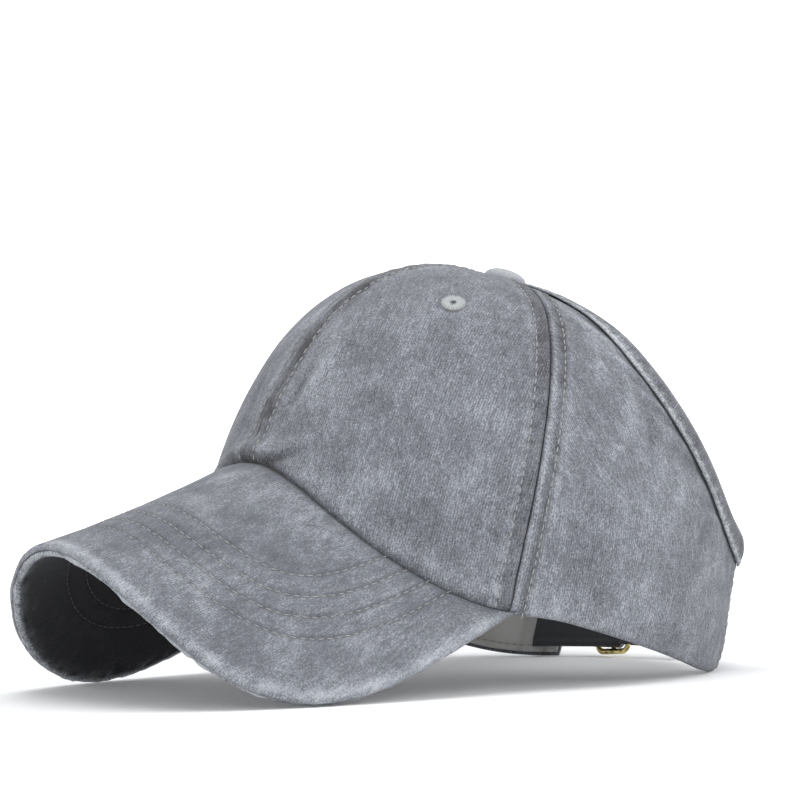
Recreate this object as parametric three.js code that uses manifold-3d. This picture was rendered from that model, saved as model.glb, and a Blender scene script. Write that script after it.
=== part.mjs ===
import * as THREE from "three";
import Module from "manifold-3d";

// Sizes are in millimetres and degrees. The peak points to -Y, the wearer's left is +X.

// Crown: a dome on a rim plane, pitched so that the peak end is higher.
const CROWN_FRONT_REACH = 95;
const CROWN_BACK_REACH = 87;
const CROWN_HALF_WIDTH = 81;
const CROWN_HEIGHT = 112;
const CROWN_FRONT_FULLNESS = 2.72;
const CROWN_BACK_FULLNESS = 2.36;
const CROWN_TOP_FORWARD = 15;
const CROWN_PITCH = 17.4;
const CROWN_SINK = 8;

// Behind the button the soft top sinks a little, between the two sides of the opening.
const SAG_DEPTH = 2.8;
const SAG_START = -45;
const SAG_LENGTH = 60;
const SAG_HALF_WIDTH = 28;
const SAG_FADE = 26;
const SAG_FLOOR = 60;
const SAG_RISE = 30;

// Cloth layers and the clearance between neighbouring pieces.
const CLOTH = 1.6;
const CLEARANCE = 0.3;
const SEAM_GAP = 0.4;

// Panels: the side seam runs down at one turn angle, measured from the front centre.
const SIDE_SEAM_TURN = 66.5;
const ARM_END_TURN = 147;
const ARM_TOP_RISE = 23;
const TOP_HOLE_RADIUS = 3.2;
const FRONT_COLUMNS = 11;
const FRONT_ROWS = 18;
const SIDE_COLUMNS = 12;
const SIDE_ROWS = 19;
const ARM_ROWS = 4;
const SIDE_ROW_EVENNESS = 0.35;

// Lower edge: the front panels rise over the peak in a bow, the arms lie on the floor.
const FRONT_BOW_HEIGHT = 27;
const FRONT_BOW_TURN = 55;
const FRONT_TUCK = 6;
const CORNER_DIP = 3.4;
const CORNER_TURN = 57;
const CORNER_SPREAD = 26;
const LOWER_EDGE_BLEND = 3;

// Opening edge from the button down to the arm's end: turn is a share of the way from the side seam
// to the arm's end, rise is a share of the way from the arm's top to the crown's top.
const OPENING_EDGE = [
  { turn: 0.6, rise: 0.94 },
  { turn: 0.505, rise: 0.82 },
  { turn: 0.45, rise: 0.685 },
  { turn: 0.437, rise: 0.55 },
  { turn: 0.478, rise: 0.43 },
  { turn: 0.557, rise: 0.33 },
  { turn: 0.641, rise: 0.245 },
  { turn: 0.73, rise: 0.165 },
  { turn: 0.828, rise: 0.087 },
  { turn: 0.91, rise: 0.033 },
  { turn: 1, rise: 0 },
];
const EDGE_STEP = 0.01;

// Binding on the opening edge.
const BINDING_WIDTH = 8.5;
const BINDING_CLOTH = 1.0;
const BINDING_START_RISE = 83;
const BINDING_SLACK = 0.3;
const BINDING_STEPS = 42;

// Button on top and the stitched eyelets of the front panels.
const BUTTON_RADIUS = 7.4;
const BUTTON_HEIGHT = 5.4;
const BUTTON_BASE_SHARE = 0.9;
const BUTTON_RIM_SHARE = 0.24;
const BUTTON_SIDE_POWER = 0.75;
const BUTTON_TOP_POWER = 0.85;
const BUTTON_STEPS = 7;
const EYELET_RADIUS = 4.0;
const EYELET_HOLE_RADIUS = 1.1;
const EYELET_HEIGHT = 0.9;
const EYELET_TURN = 36;
const EYELET_RISE = 50;

// Section of an eyelet: out is a share of the way from the hole to the rim, up of the height.
const EYELET_SECTION = [
  { out: 0, up: 0 },
  { out: 1, up: 0 },
  { out: 1, up: 0.4 },
  { out: 0.78, up: 0.94 },
  { out: 0.36, up: 1 },
  { out: 0, up: 0.5 },
  { out: 0, up: 0 },
];

// Peak: a curved sheet in two covers. Its arch is a little wider than the crown.
const PEAK_ARCH_INSET = 35;
const PEAK_ARCH_EASE = 4.5;
const PEAK_ARCH_DEPTH = 108;
const PEAK_ARCH_SOFTENING = 0.2;
const PEAK_ARCH_END_ANGLE = 1.8;
const PEAK_ARCH_STEPS = 240;
const PEAK_CENTRE_Z = 73;
const PEAK_SLOPE = 13.5;
const PEAK_FLARE_START = -20;
const PEAK_FLARE_LENGTH = 256;
const PEAK_HALF_ARC = 104;
const PEAK_REACH = 99;
const PEAK_OUTLINE_FULLNESS = 2.74;
const PEAK_SIDE_SHARE = 0.72;
const PEAK_COVER = 2.1;
const PEAK_CREST_LIFT = 5;
const PEAK_CREST_HALF_ARC = 62;
const PEAK_CREST_LENGTH = 72;
const PEAK_SEAM_REACH = 27;
const PEAK_CORNER_STEP = 3;
const PEAK_LOBE_CORNER = -20;
const PEAK_HALF_COLUMNS = 20;
const PEAK_ROWS = 10;
const PEAK_SEARCH_FRONT = 70;
const PEAK_SEARCH_BACK = -60;
const PEAK_SEARCH_STEP = 2;

// Facings on the inside of the arm ends.
const FACING_LENGTH = 34;
const FACING_HEIGHT = 25;
const FACING_CLOTH = 1.0;
const FACING_SLACK = 0.1;
const FACING_INSET = 0.6;
const FACING_LOWER_RISE = 0.5;

// Strap, buckle tab and buckle, laid out along the back on a band between two heights.
const BACK_ARC_INSET = 3;
const BAND_LOW = 2;
const BAND_HIGH = 27;
const STRAP_CLOTH = 1.5;
const STRAP_BOTTOM = 3.6;
const STRAP_WIDTH = 20.6;
const STRAP_TUCK = 9;
const STRAP_TAIL = 22;
const STRAP_TAIL_SINK = 2.3;
const STRAP_TAIL_SINK_RATE = 1.6;
const STRAP_TAIL_STEPS = 5;
const STRAP_DIP = 0.8;
const STRAP_DIP_START = 0.12;
const STRAP_LEAD = 1;
const STRAP_STEPS = 14;
const TAB_BOTTOM = 2.8;
const TAB_WIDTH = 22.4;
const TAB_STRAIGHT = 2;
const TAB_SLACK = 0.2;
const TAB_END_STEP = 1;
const WIRE_RADIUS = 1.0;
const WIRE_SIDES = 8;
const WRAP_SLACK = 0.15;
const WRAP_STEPS = 6;
const BUCKLE_BOTTOM = 0.35;
const BUCKLE_HEIGHT = 27.4;
const BUCKLE_WIDTH = 18;
const BUCKLE_FROM_ARM = 14;
const BUCKLE_DEPTH = 4.0;
const BUCKLE_YAW_DROP = 2.3;
const BUCKLE_CORNER = 3;
const BUCKLE_CORNER_STEPS = 4;
const BUCKLE_BAR_SHARE = 0.96;

const RAD = Math.PI / 180;
const PEAK_ARCH_HALF_WIDTH = CROWN_HALF_WIDTH + PEAK_ARCH_EASE;
const PEAK_CENTRE_Y = PEAK_ARCH_INSET - CROWN_FRONT_REACH;
const BACK_ARC_RADIUS = CROWN_BACK_REACH - BACK_ARC_INSET;
const ARM_END_ARC = (180 - ARM_END_TURN) * RAD * BACK_ARC_RADIUS;

function clamp(value, low, high) {
  return Math.min(high, Math.max(low, value));
}

function mix(a, b, share) {
  return a + (b - a) * share;
}

function softMax(a, b, width) {
  const gap = clamp(0.5 + (a - b) / (2 * width), 0, 1);
  return mix(b, a, gap) + width * gap * (1 - gap);
}

// The dome's fullness and its plan radius at one turn angle.
function fullness(turn) {
  const share = (1 + Math.cos(turn * RAD)) / 2;
  return mix(CROWN_BACK_FULLNESS, CROWN_FRONT_FULLNESS, share);
}

function planRadius(turn) {
  const reach = Math.cos(turn * RAD) > 0 ? CROWN_FRONT_REACH : CROWN_BACK_REACH;
  return 1 / Math.hypot(Math.sin(turn * RAD) / CROWN_HALF_WIDTH, Math.cos(turn * RAD) / reach);
}

// From the crown's own frame to the frame in which the cap rests on the floor.
function ease(value) {
  const t = Math.min(Math.max(value, 0), 1);
  return t * t * (3 - 2 * t);
}

function sag(x, y, z) {
  const along = ease((y - SAG_START) / SAG_LENGTH);
  const aside = ease((SAG_HALF_WIDTH + SAG_FADE - Math.abs(x)) / SAG_FADE);
  return SAG_DEPTH * along * aside * ease((z - SAG_FLOOR) / SAG_RISE);
}

function settle(x, y, z) {
  const c = Math.cos(CROWN_PITCH * RAD);
  const s = Math.sin(CROWN_PITCH * RAD);
  const back = y - CROWN_BACK_REACH;
  const up = z - sag(x, y, z);
  return new THREE.Vector3(x, c * back + s * up + CROWN_BACK_REACH * c, c * up - s * back - CROWN_SINK);
}

function domePoint(turn, rise) {
  const n = fullness(turn);
  const c = Math.max(Math.cos(rise * RAD), 1e-6);
  const s = Math.sin(rise * RAD);
  const k = Math.pow(Math.pow(c, n) + Math.pow(Math.max(s, 0), n), -1 / n);
  const out = k * c;
  const up = k * s;
  const r = out * planRadius(turn);
  const y = -CROWN_TOP_FORWARD * (1 - out) - r * Math.cos(turn * RAD);
  return settle(r * Math.sin(turn * RAD), y, CROWN_HEIGHT * up);
}

function domeNormal(turn, rise) {
  const step = 0.4;
  const across = domePoint(turn + step, rise).sub(domePoint(turn - step, rise));
  const along = domePoint(turn, rise + step).sub(domePoint(turn, rise - step));
  return across.cross(along).normalize();
}

// A point at a depth below the crown's outer face.
function crownPoint(turn, rise, depth) {
  return domePoint(turn, rise).addScaledVector(domeNormal(turn, rise), -depth);
}

// The rise angle at a height over the rim plane. Below the plane the wall runs straight down.
function riseAtHeight(turn, height) {
  const n = fullness(turn);
  const up = Math.min(height / CROWN_HEIGHT, 0.999);
  const out = Math.pow(1 - Math.pow(Math.max(up, 0), n), 1 / n);
  return Math.atan2(up, out) / RAD;
}

// The rise angle at a height over the floor.
function riseOverFloor(turn, z) {
  let low = 0;
  let high = 45;
  for (let i = 0; i < 40; i += 1) {
    const middle = (low + high) / 2;
    if (domePoint(turn, middle).z < z) {
      low = middle;
    } else {
      high = middle;
    }
  }
  return (low + high) / 2;
}

function lowerRise(turn) {
  const angle = Math.min(Math.abs(turn) / FRONT_BOW_TURN, 1) * 90;
  const bow = FRONT_BOW_HEIGHT * Math.pow(Math.cos(angle * RAD), 2) - FRONT_TUCK;
  const y = -planRadius(turn) * Math.cos(turn * RAD);
  const slope = Math.tan(CROWN_PITCH * RAD);
  const floor = CROWN_SINK / Math.cos(CROWN_PITCH * RAD) - slope * (CROWN_BACK_REACH - y);
  const aside = clamp((Math.abs(turn) - CORNER_TURN) / CORNER_SPREAD, -1, 1) * 90;
  const dip = -CORNER_DIP * Math.pow(Math.cos(aside * RAD), 2);
  const height = softMax(softMax(bow, dip, LOWER_EDGE_BLEND), floor, LOWER_EDGE_BLEND);
  return riseAtHeight(turn, height);
}

function topRise(turn) {
  return 90 - (TOP_HOLE_RADIUS / planRadius(turn)) / RAD;
}

// The turn offset that leaves half a seam gap at one place of the crown.
function seamTurn(turn, rise) {
  const a = domePoint(turn, rise);
  const b = domePoint(turn + 1, rise);
  return SEAM_GAP / 2 / Math.max(a.distanceTo(b), 1e-4);
}

// A smooth curve through the rows of the opening edge: turn is x and rise is y.
const EDGE_CURVE = new THREE.CatmullRomCurve3(
  OPENING_EDGE.map((row) => new THREE.Vector3(
    mix(SIDE_SEAM_TURN, ARM_END_TURN, row.turn),
    mix(ARM_TOP_RISE, 90, row.rise),
    0,
  )),
  false,
  "centripetal",
);

function edgeTurnAtRise(rise) {
  let low = 0;
  let high = 1;
  for (let i = 0; i < 30; i += 1) {
    const middle = (low + high) / 2;
    if (EDGE_CURVE.getPoint(middle).y > rise) {
      low = middle;
    } else {
      high = middle;
    }
  }
  return EDGE_CURVE.getPoint((low + high) / 2).x;
}

function makeGeometry(points, triangles) {
  const geometry = new THREE.BufferGeometry();
  const flat = [];
  for (const p of points) {
    flat.push(p.x, p.y, p.z);
  }
  let volume = 0;
  for (const [a, b, c] of triangles) {
    volume += points[a].dot(points[b].clone().cross(points[c]));
  }
  const index = [];
  for (const [a, b, c] of triangles) {
    if (volume > 0) {
      index.push(a, b, c);
    } else {
      index.push(a, c, b);
    }
  }
  geometry.setAttribute("position", new THREE.Float32BufferAttribute(flat, 3));
  geometry.setIndex(index);
  geometry.computeVertexNormals();
  return geometry;
}

// A closed sheet: point(u, v, side) gives its outer face at side 0 and its inner face at side 1.
function sheet(countU, countV, point) {
  const points = [];
  const triangles = [];
  const at = (i, j, side) => (side * (countU + 1) + i) * (countV + 1) + j;
  for (let side = 0; side < 2; side += 1) {
    for (let i = 0; i <= countU; i += 1) {
      for (let j = 0; j <= countV; j += 1) {
        points.push(point(i / countU, j / countV, side, i, j));
      }
    }
  }
  const quad = (a, b, c, d) => {
    triangles.push([a, b, c], [a, c, d]);
  };
  for (let i = 0; i < countU; i += 1) {
    for (let j = 0; j < countV; j += 1) {
      quad(at(i, j, 0), at(i + 1, j, 0), at(i + 1, j + 1, 0), at(i, j + 1, 0));
      quad(at(i, j, 1), at(i, j + 1, 1), at(i + 1, j + 1, 1), at(i + 1, j, 1));
    }
    quad(at(i, 0, 0), at(i, 0, 1), at(i + 1, 0, 1), at(i + 1, 0, 0));
    quad(at(i, countV, 0), at(i + 1, countV, 0), at(i + 1, countV, 1), at(i, countV, 1));
  }
  for (let j = 0; j < countV; j += 1) {
    quad(at(0, j, 0), at(0, j + 1, 0), at(0, j + 1, 1), at(0, j, 1));
    quad(at(countU, j, 0), at(countU, j, 1), at(countU, j + 1, 1), at(countU, j + 1, 0));
  }
  return makeGeometry(points, triangles);
}

const wasm = await Module();
wasm.setup();

function toSolid(geometry) {
  const position = geometry.getAttribute("position");
  return new wasm.Manifold(new wasm.Mesh({
    numProp: 3,
    vertProperties: new Float32Array(position.array),
    triVerts: new Uint32Array(geometry.getIndex().array),
  }));
}

function fromSolid(solid) {
  const mesh = solid.getMesh();
  const geometry = new THREE.BufferGeometry();
  geometry.setAttribute("position", new THREE.Float32BufferAttribute(Array.from(mesh.vertProperties), 3));
  geometry.setIndex(Array.from(mesh.triVerts));
  geometry.computeVertexNormals();
  return geometry;
}

// Front panel of one side, hand +1 is the wearer's left.
function frontPanel(hand) {
  const body = sheet(FRONT_COLUMNS, FRONT_ROWS, (u, v, side) => {
    const wanted = SIDE_SEAM_TURN * u;
    const rise = mix(lowerRise(wanted), topRise(wanted), v);
    const slack = seamTurn(wanted, rise);
    const turn = mix(slack, SIDE_SEAM_TURN - slack, u);
    return crownPoint(hand * turn, rise, side * CLOTH);
  });
  const hole = new THREE.CylinderGeometry(EYELET_HOLE_RADIUS, EYELET_HOLE_RADIUS, CLOTH * 4, 14);
  orient(hole, hand * EYELET_TURN, EYELET_RISE, -CLOTH / 2);
  return fromSolid(toSolid(body).subtract(toSolid(weld(hole))));
}

// Moves a piece built round +Y onto the crown, its axis along the crown's normal.
function orient(geometry, turn, rise, lift) {
  const up = domeNormal(turn, rise);
  const spin = new THREE.Quaternion().setFromUnitVectors(new THREE.Vector3(0, 1, 0), up);
  geometry.applyQuaternion(spin);
  const place = domePoint(turn, rise).addScaledVector(up, lift);
  geometry.translate(place.x, place.y, place.z);
  return geometry;
}

// Joins the doubled vertices of a turned shape.
function weld(geometry) {
  const position = geometry.getAttribute("position");
  const source = geometry.getIndex();
  const keys = new Map();
  const points = [];
  const renamed = [];
  for (let i = 0; i < position.count; i += 1) {
    const p = new THREE.Vector3().fromBufferAttribute(position, i);
    const key = [p.x, p.y, p.z].map((value) => Math.round(value * 2000)).join(" ");
    if (!keys.has(key)) {
      keys.set(key, points.length);
      points.push(p);
    }
    renamed.push(keys.get(key));
  }
  const triangles = [];
  const count = source ? source.count : position.count;
  for (let i = 0; i < count; i += 3) {
    const corner = [0, 1, 2].map((k) => renamed[source ? source.getX(i + k) : i + k]);
    if (corner[0] !== corner[1] && corner[1] !== corner[2] && corner[0] !== corner[2]) {
      triangles.push(corner);
    }
  }
  return makeGeometry(points, triangles);
}

// Side panel of one side, from the side seam to the opening edge and the arm's end.
function sidePanel(hand) {
  return sheet(SIDE_COLUMNS, ARM_ROWS + SIDE_ROWS, (u, v, side, i, j) => {
    const share = Math.max(j - ARM_ROWS, 0) / SIDE_ROWS;
    const climb = mix(share * share, share, SIDE_ROW_EVENNESS);
    let rise = mix(ARM_TOP_RISE, topRise(SIDE_SEAM_TURN), climb);
    const limit = edgeTurnAtRise(rise);
    const wanted = mix(SIDE_SEAM_TURN, limit, u);
    if (j < ARM_ROWS) {
      rise = mix(lowerRise(wanted), ARM_TOP_RISE, j / ARM_ROWS);
    }
    const turn = mix(SIDE_SEAM_TURN + seamTurn(wanted, rise), limit, u);
    return crownPoint(hand * turn, rise, side * CLOTH);
  });
}

// Turn and rise at a distance inward from the opening edge, over the panel.
function besideEdge(share, inward) {
  const at = EDGE_CURVE.getPoint(share);
  const ahead = EDGE_CURVE.getPoint(Math.min(share + EDGE_STEP, 1));
  const behind = EDGE_CURVE.getPoint(Math.max(share - EDGE_STEP, 0));
  const tangent = domePoint(ahead.x, ahead.y).sub(domePoint(behind.x, behind.y)).normalize();
  const lateral = domeNormal(at.x, at.y).cross(tangent).normalize();
  const turnStep = domePoint(at.x + 0.5, at.y).sub(domePoint(at.x - 0.5, at.y));
  const riseStep = domePoint(at.x, at.y + 0.5).sub(domePoint(at.x, at.y - 0.5));
  const a = turnStep.dot(turnStep);
  const b = turnStep.dot(riseStep);
  const c = riseStep.dot(riseStep);
  const p = lateral.dot(turnStep);
  const q = lateral.dot(riseStep);
  const spread = a * c - b * b;
  const turnShare = (p * c - q * b) / spread;
  const riseShare = (q * a - p * b) / spread;
  const sign = turnShare > 0 || riseShare > 0.6 ? -1 : 1;
  return [at.x + sign * inward * turnShare, at.y + sign * inward * riseShare];
}

// One skin of the folded tape, as pairs of distance from the edge and depth in the crown.
function bindingSkin(out) {
  const gap = CLEARANCE + BINDING_SLACK + out;
  return [
    [BINDING_WIDTH, -gap],
    [0, -gap],
    [-gap - BINDING_SLACK, CLOTH / 2],
    [0, CLOTH + gap],
    [BINDING_WIDTH, CLOTH + gap],
  ];
}

function binding(hand) {
  const skins = [bindingSkin(BINDING_CLOTH), bindingSkin(0)];
  let start = 0;
  while (EDGE_CURVE.getPoint(start).y > BINDING_START_RISE) {
    start += EDGE_STEP / 5;
  }
  return sheet(BINDING_STEPS, skins[0].length - 1, (u, v, side, i, j) => {
    const [inward, depth] = skins[side][j];
    const [turn, rise] = besideEdge(mix(start, 1, u), inward);
    const point = crownPoint(turn, rise, depth);
    point.x *= hand;
    return point;
  });
}

// Signed distance to the crown's outer wall, positive outside.
function outsideCrown(point) {
  const c = Math.cos(CROWN_PITCH * RAD);
  const s = Math.sin(CROWN_PITCH * RAD);
  const py = point.y - CROWN_BACK_REACH * c;
  const pz = point.z + CROWN_SINK;
  const y = c * py - s * pz + CROWN_BACK_REACH;
  const z = s * py + c * pz;
  let turn = Math.atan2(point.x, -y) / RAD;
  let out = 1;
  for (let i = 0; i < 4; i += 1) {
    const n = fullness(turn);
    const up = clamp(z / CROWN_HEIGHT, 0, 0.999);
    out = Math.pow(1 - Math.pow(up, n), 1 / n);
    turn = Math.atan2(point.x, -(y + CROWN_TOP_FORWARD * (1 - out))) / RAD;
  }
  const shifted = y + CROWN_TOP_FORWARD * (1 - out);
  return Math.hypot(point.x, shifted) - out * planRadius(turn);
}

// The arch angle at a distance along the peak's curve.
const ARCH_ANGLE_STEP = PEAK_ARCH_END_ANGLE / PEAK_ARCH_STEPS;
const ARCH_TABLE = [0];
for (let i = 1; i <= PEAK_ARCH_STEPS; i += 1) {
  const a = (i - 0.5) * ARCH_ANGLE_STEP;
  const run = Math.hypot(PEAK_ARCH_HALF_WIDTH * Math.cos(a), PEAK_ARCH_DEPTH * Math.sin(a));
  ARCH_TABLE.push(ARCH_TABLE[i - 1] + run * ARCH_ANGLE_STEP);
}

function archAngle(arc) {
  const wanted = Math.abs(arc);
  let i = 1;
  while (i < PEAK_ARCH_STEPS && ARCH_TABLE[i] < wanted) {
    i += 1;
  }
  const share = (wanted - ARCH_TABLE[i - 1]) / (ARCH_TABLE[i] - ARCH_TABLE[i - 1]);
  return Math.sign(arc) * (i - 1 + share) * ARCH_ANGLE_STEP;
}

// Upper face of the peak: arc runs across it, reach runs forward.
function peakFace(arc, reach, lift) {
  const angle = archAngle(arc);
  const bend = 1 - Math.cos(angle);
  const depth = PEAK_ARCH_DEPTH * (1 + (reach - PEAK_FLARE_START) / PEAK_FLARE_LENGTH);
  const down = depth * bend * (1 - PEAK_ARCH_SOFTENING * bend);
  const c = Math.cos(PEAK_SLOPE * RAD);
  const s = Math.sin(PEAK_SLOPE * RAD);
  const ahead = clamp((reach - PEAK_SEAM_REACH) / PEAK_CREST_LENGTH, 0, 1);
  const across = Math.min(Math.abs(arc) / PEAK_CREST_HALF_ARC, 1) * 90;
  const crest = PEAK_CREST_LIFT * Math.pow(1 - ahead, 2) * Math.pow(Math.cos(across * RAD), 2);
  return new THREE.Vector3(
    PEAK_ARCH_HALF_WIDTH * Math.sin(angle),
    PEAK_CENTRE_Y - c * reach + s * down,
    PEAK_CENTRE_Z - s * reach - c * down + crest + lift,
  );
}

function peakPoint(arc, reach, depth, lift) {
  const step = 0.5;
  const across = peakFace(arc + step, reach, lift).sub(peakFace(arc - step, reach, lift));
  const along = peakFace(arc, reach + step, lift).sub(peakFace(arc, reach - step, lift));
  const up = along.cross(across).normalize();
  if (up.z < 0) {
    up.negate();
  }
  return peakFace(arc, reach, lift).addScaledVector(up, -depth);
}

// The peak's outline from the front centre, share 0, to its corner, share 1.
function peakOutline(share, corner) {
  if (share >= PEAK_SIDE_SHARE) {
    const beside = (share - PEAK_SIDE_SHARE) / (1 - PEAK_SIDE_SHARE);
    return [PEAK_HALF_ARC, beside * (corner + PEAK_CORNER_STEP)];
  }
  const angle = share / PEAK_SIDE_SHARE * Math.PI / 2;
  const power = 2 / PEAK_OUTLINE_FULLNESS;
  const across = PEAK_HALF_ARC * Math.pow(Math.sin(angle), power);
  return [across, PEAK_REACH * Math.pow(Math.max(Math.cos(angle), 0), power)];
}

// How far forward the crown's outer wall is, at one arc of the peak.
function seamReach(arc, depth, lift) {
  let low = PEAK_SEARCH_FRONT;
  while (low > PEAK_SEARCH_BACK && outsideCrown(peakPoint(arc, low, depth, lift)) > CLEARANCE) {
    low -= PEAK_SEARCH_STEP;
  }
  let high = low + PEAK_SEARCH_STEP;
  for (let i = 0; i < 24; i += 1) {
    const middle = (low + high) / 2;
    if (outsideCrown(peakPoint(arc, middle, depth, lift)) > CLEARANCE) {
      high = middle;
    } else {
      low = middle;
    }
  }
  return (low + high) / 2;
}

// The lift that stands the peak's two lobes on the floor.
const UNDER_DEPTH = 2 * PEAK_COVER + CLEARANCE;
let lowestLobe = PEAK_CENTRE_Z;
for (let share = 0.3; share < 0.95; share += 0.005) {
  const [arc, reach] = peakOutline(share, PEAK_LOBE_CORNER);
  const upperEdge = peakPoint(arc, reach, 0, 0).z;
  const underEdge = peakPoint(arc, reach, UNDER_DEPTH, 0).z;
  lowestLobe = Math.min(lowestLobe, upperEdge, underEdge);
}
const PEAK_LIFT = -lowestLobe;

function peakCover(top) {
  const faces = [top, top + PEAK_COVER].map((depth) => {
    const corner = seamReach(PEAK_HALF_ARC, depth, PEAK_LIFT);
    const seam = [];
    for (let i = 0; i <= PEAK_HALF_COLUMNS; i += 1) {
      seam.push(seamReach(PEAK_HALF_ARC * i / PEAK_HALF_COLUMNS, depth, PEAK_LIFT));
    }
    return { depth, corner, seam };
  });
  return sheet(2 * PEAK_HALF_COLUMNS, PEAK_ROWS, (u, v, side, i) => {
    const face = faces[side];
    const column = Math.abs(i - PEAK_HALF_COLUMNS);
    const share = column / PEAK_HALF_COLUMNS;
    const hand = i < PEAK_HALF_COLUMNS ? -1 : 1;
    const [outArc, outReach] = peakOutline(share, face.corner);
    const arc = mix(PEAK_HALF_ARC * share, outArc, v);
    const reach = mix(face.seam[column], outReach, v);
    return peakPoint(hand * arc, reach, face.depth, PEAK_LIFT);
  });
}

function button() {
  const profile = [new THREE.Vector2(0, 0), new THREE.Vector2(BUTTON_RADIUS * BUTTON_BASE_SHARE, 0)];
  for (let i = 0; i < BUTTON_STEPS; i += 1) {
    const a = i / BUTTON_STEPS * Math.PI / 2;
    const out = Math.pow(Math.cos(a), BUTTON_SIDE_POWER);
    const up = mix(BUTTON_RIM_SHARE, 1, Math.pow(Math.sin(a), BUTTON_TOP_POWER));
    profile.push(new THREE.Vector2(BUTTON_RADIUS * out, BUTTON_HEIGHT * up));
  }
  profile.push(new THREE.Vector2(0, BUTTON_HEIGHT));
  const cap = weld(new THREE.LatheGeometry(profile, 24));
  const seat = [-1, 1].map((step) => sag(0, step - CROWN_TOP_FORWARD, CROWN_HEIGHT));
  const lean = Math.atan((seat[1] - seat[0]) / 2) / RAD;
  const spin = new THREE.Quaternion().setFromAxisAngle(
    new THREE.Vector3(1, 0, 0),
    (90 - CROWN_PITCH - lean) * RAD,
  );
  cap.applyQuaternion(spin);
  const place = settle(0, -CROWN_TOP_FORWARD, CROWN_HEIGHT + CLEARANCE);
  cap.translate(place.x, place.y, place.z);
  return cap;
}

function eyelet(hand) {
  const profile = EYELET_SECTION.map((row) => new THREE.Vector2(
    mix(EYELET_HOLE_RADIUS, EYELET_RADIUS, row.out),
    EYELET_HEIGHT * row.up,
  ));
  const ring = weld(new THREE.LatheGeometry(profile, 20));
  return orient(ring, hand * EYELET_TURN, EYELET_RISE, CLEARANCE);
}

// The band along the back: arc is measured from the centre, plus toward the wearer's left.
// Across its width the band is straight, between two heights of the crown.
function bandPoint(arc, z, depth) {
  const turn = 180 - arc / BACK_ARC_RADIUS / RAD;
  const low = crownPoint(turn, riseOverFloor(turn, BAND_LOW), 0);
  const high = crownPoint(turn, riseOverFloor(turn, BAND_HIGH), 0);
  const along = new THREE.Vector3(Math.cos(turn * RAD), Math.sin(turn * RAD), 0);
  const inward = high.clone().sub(low).cross(along).normalize();
  if (inward.dot(domeNormal(turn, riseOverFloor(turn, BAND_LOW))) > 0) {
    inward.negate();
  }
  return low.lerp(high, (z - BAND_LOW) / (BAND_HIGH - BAND_LOW)).addScaledVector(inward, depth);
}

// A cloth band whose path is a list of arc and depth pairs on its middle line.
function band(path, bottom, width) {
  const normals = path.map((spot, i) => {
    const before = path[Math.max(i - 1, 0)];
    const after = path[Math.min(i + 1, path.length - 1)];
    const run = [after[0] - before[0], after[1] - before[1]];
    const length = Math.hypot(run[0], run[1]);
    return [-run[1] / length, run[0] / length];
  });
  return sheet(path.length - 1, 1, (u, v, side, i) => {
    const offset = (side - 0.5) * STRAP_CLOTH;
    const arc = path[i][0] + normals[i][0] * offset;
    const depth = path[i][1] + normals[i][1] * offset;
    return bandPoint(arc, bottom + width * v, depth);
  });
}

function facing(hand) {
  const depth = CLOTH + CLEARANCE + FACING_SLACK;
  return sheet(8, 4, (u, v, side) => {
    const arc = ARM_END_ARC + FACING_INSET + FACING_LENGTH * u;
    const turn = 180 - arc / BACK_ARC_RADIUS / RAD;
    const low = lowerRise(turn) + FACING_LOWER_RISE;
    const base = domePoint(turn, low).z;
    const high = riseOverFloor(turn, base + FACING_HEIGHT);
    return crownPoint(hand * turn, mix(low, high, v), depth + side * FACING_CLOTH);
  });
}

const BAR_RIGHT = -ARM_END_ARC + BUCKLE_FROM_ARM;
const BAR_MIDDLE = BAR_RIGHT + BUCKLE_WIDTH / 2 - WIRE_RADIUS;
const BAR_LEFT = BAR_RIGHT + BUCKLE_WIDTH - 2 * WIRE_RADIUS;
const WRAP = WIRE_RADIUS + WRAP_SLACK + CLEARANCE + STRAP_CLOTH / 2;
const TUCK_DEPTH = CLOTH + CLEARANCE + FACING_SLACK + FACING_CLOTH + CLEARANCE + STRAP_CLOTH / 2;

function depthOfBar(arc) {
  return BUCKLE_DEPTH + BUCKLE_YAW_DROP * (arc - BAR_MIDDLE) / (BAR_MIDDLE - BAR_RIGHT);
}

// Path round a bar: from the outer layer, past the bar's far side, to the inner layer.
function wrapPath(barArc, toward) {
  const path = [];
  for (let i = 0; i <= WRAP_STEPS; i += 1) {
    const a = i / WRAP_STEPS * Math.PI;
    path.push([barArc + toward * WRAP * Math.sin(a), depthOfBar(barArc) - WRAP * Math.cos(a)]);
  }
  return path;
}

// The strap hangs a little between the arm and the buckle, wraps the left bar and runs back inside.
function strap() {
  const path = [];
  const outer = depthOfBar(BAR_LEFT) - WRAP;
  const inner = depthOfBar(BAR_LEFT) + WRAP;
  for (let i = 0; i < STRAP_STEPS; i += 1) {
    const share = i / STRAP_STEPS;
    const hang = clamp((share - STRAP_DIP_START) / (1 - STRAP_DIP_START), 0, 1);
    const dip = STRAP_DIP * Math.sin(Math.PI * hang);
    const arc = mix(ARM_END_ARC + STRAP_TUCK, BAR_LEFT + STRAP_LEAD, share);
    path.push([arc, mix(TUCK_DEPTH, outer, share) - dip]);
  }
  path.push(...wrapPath(BAR_LEFT, -1));
  for (let i = 1; i <= STRAP_TAIL_STEPS; i += 1) {
    const share = i / STRAP_TAIL_STEPS;
    const sink = Math.min(share * STRAP_TAIL_SINK_RATE, 1);
    path.push([BAR_LEFT + STRAP_TAIL * share, mix(inner, TUCK_DEPTH + STRAP_TAIL_SINK, sink)]);
  }
  return band(path, STRAP_BOTTOM, STRAP_WIDTH);
}

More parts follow.
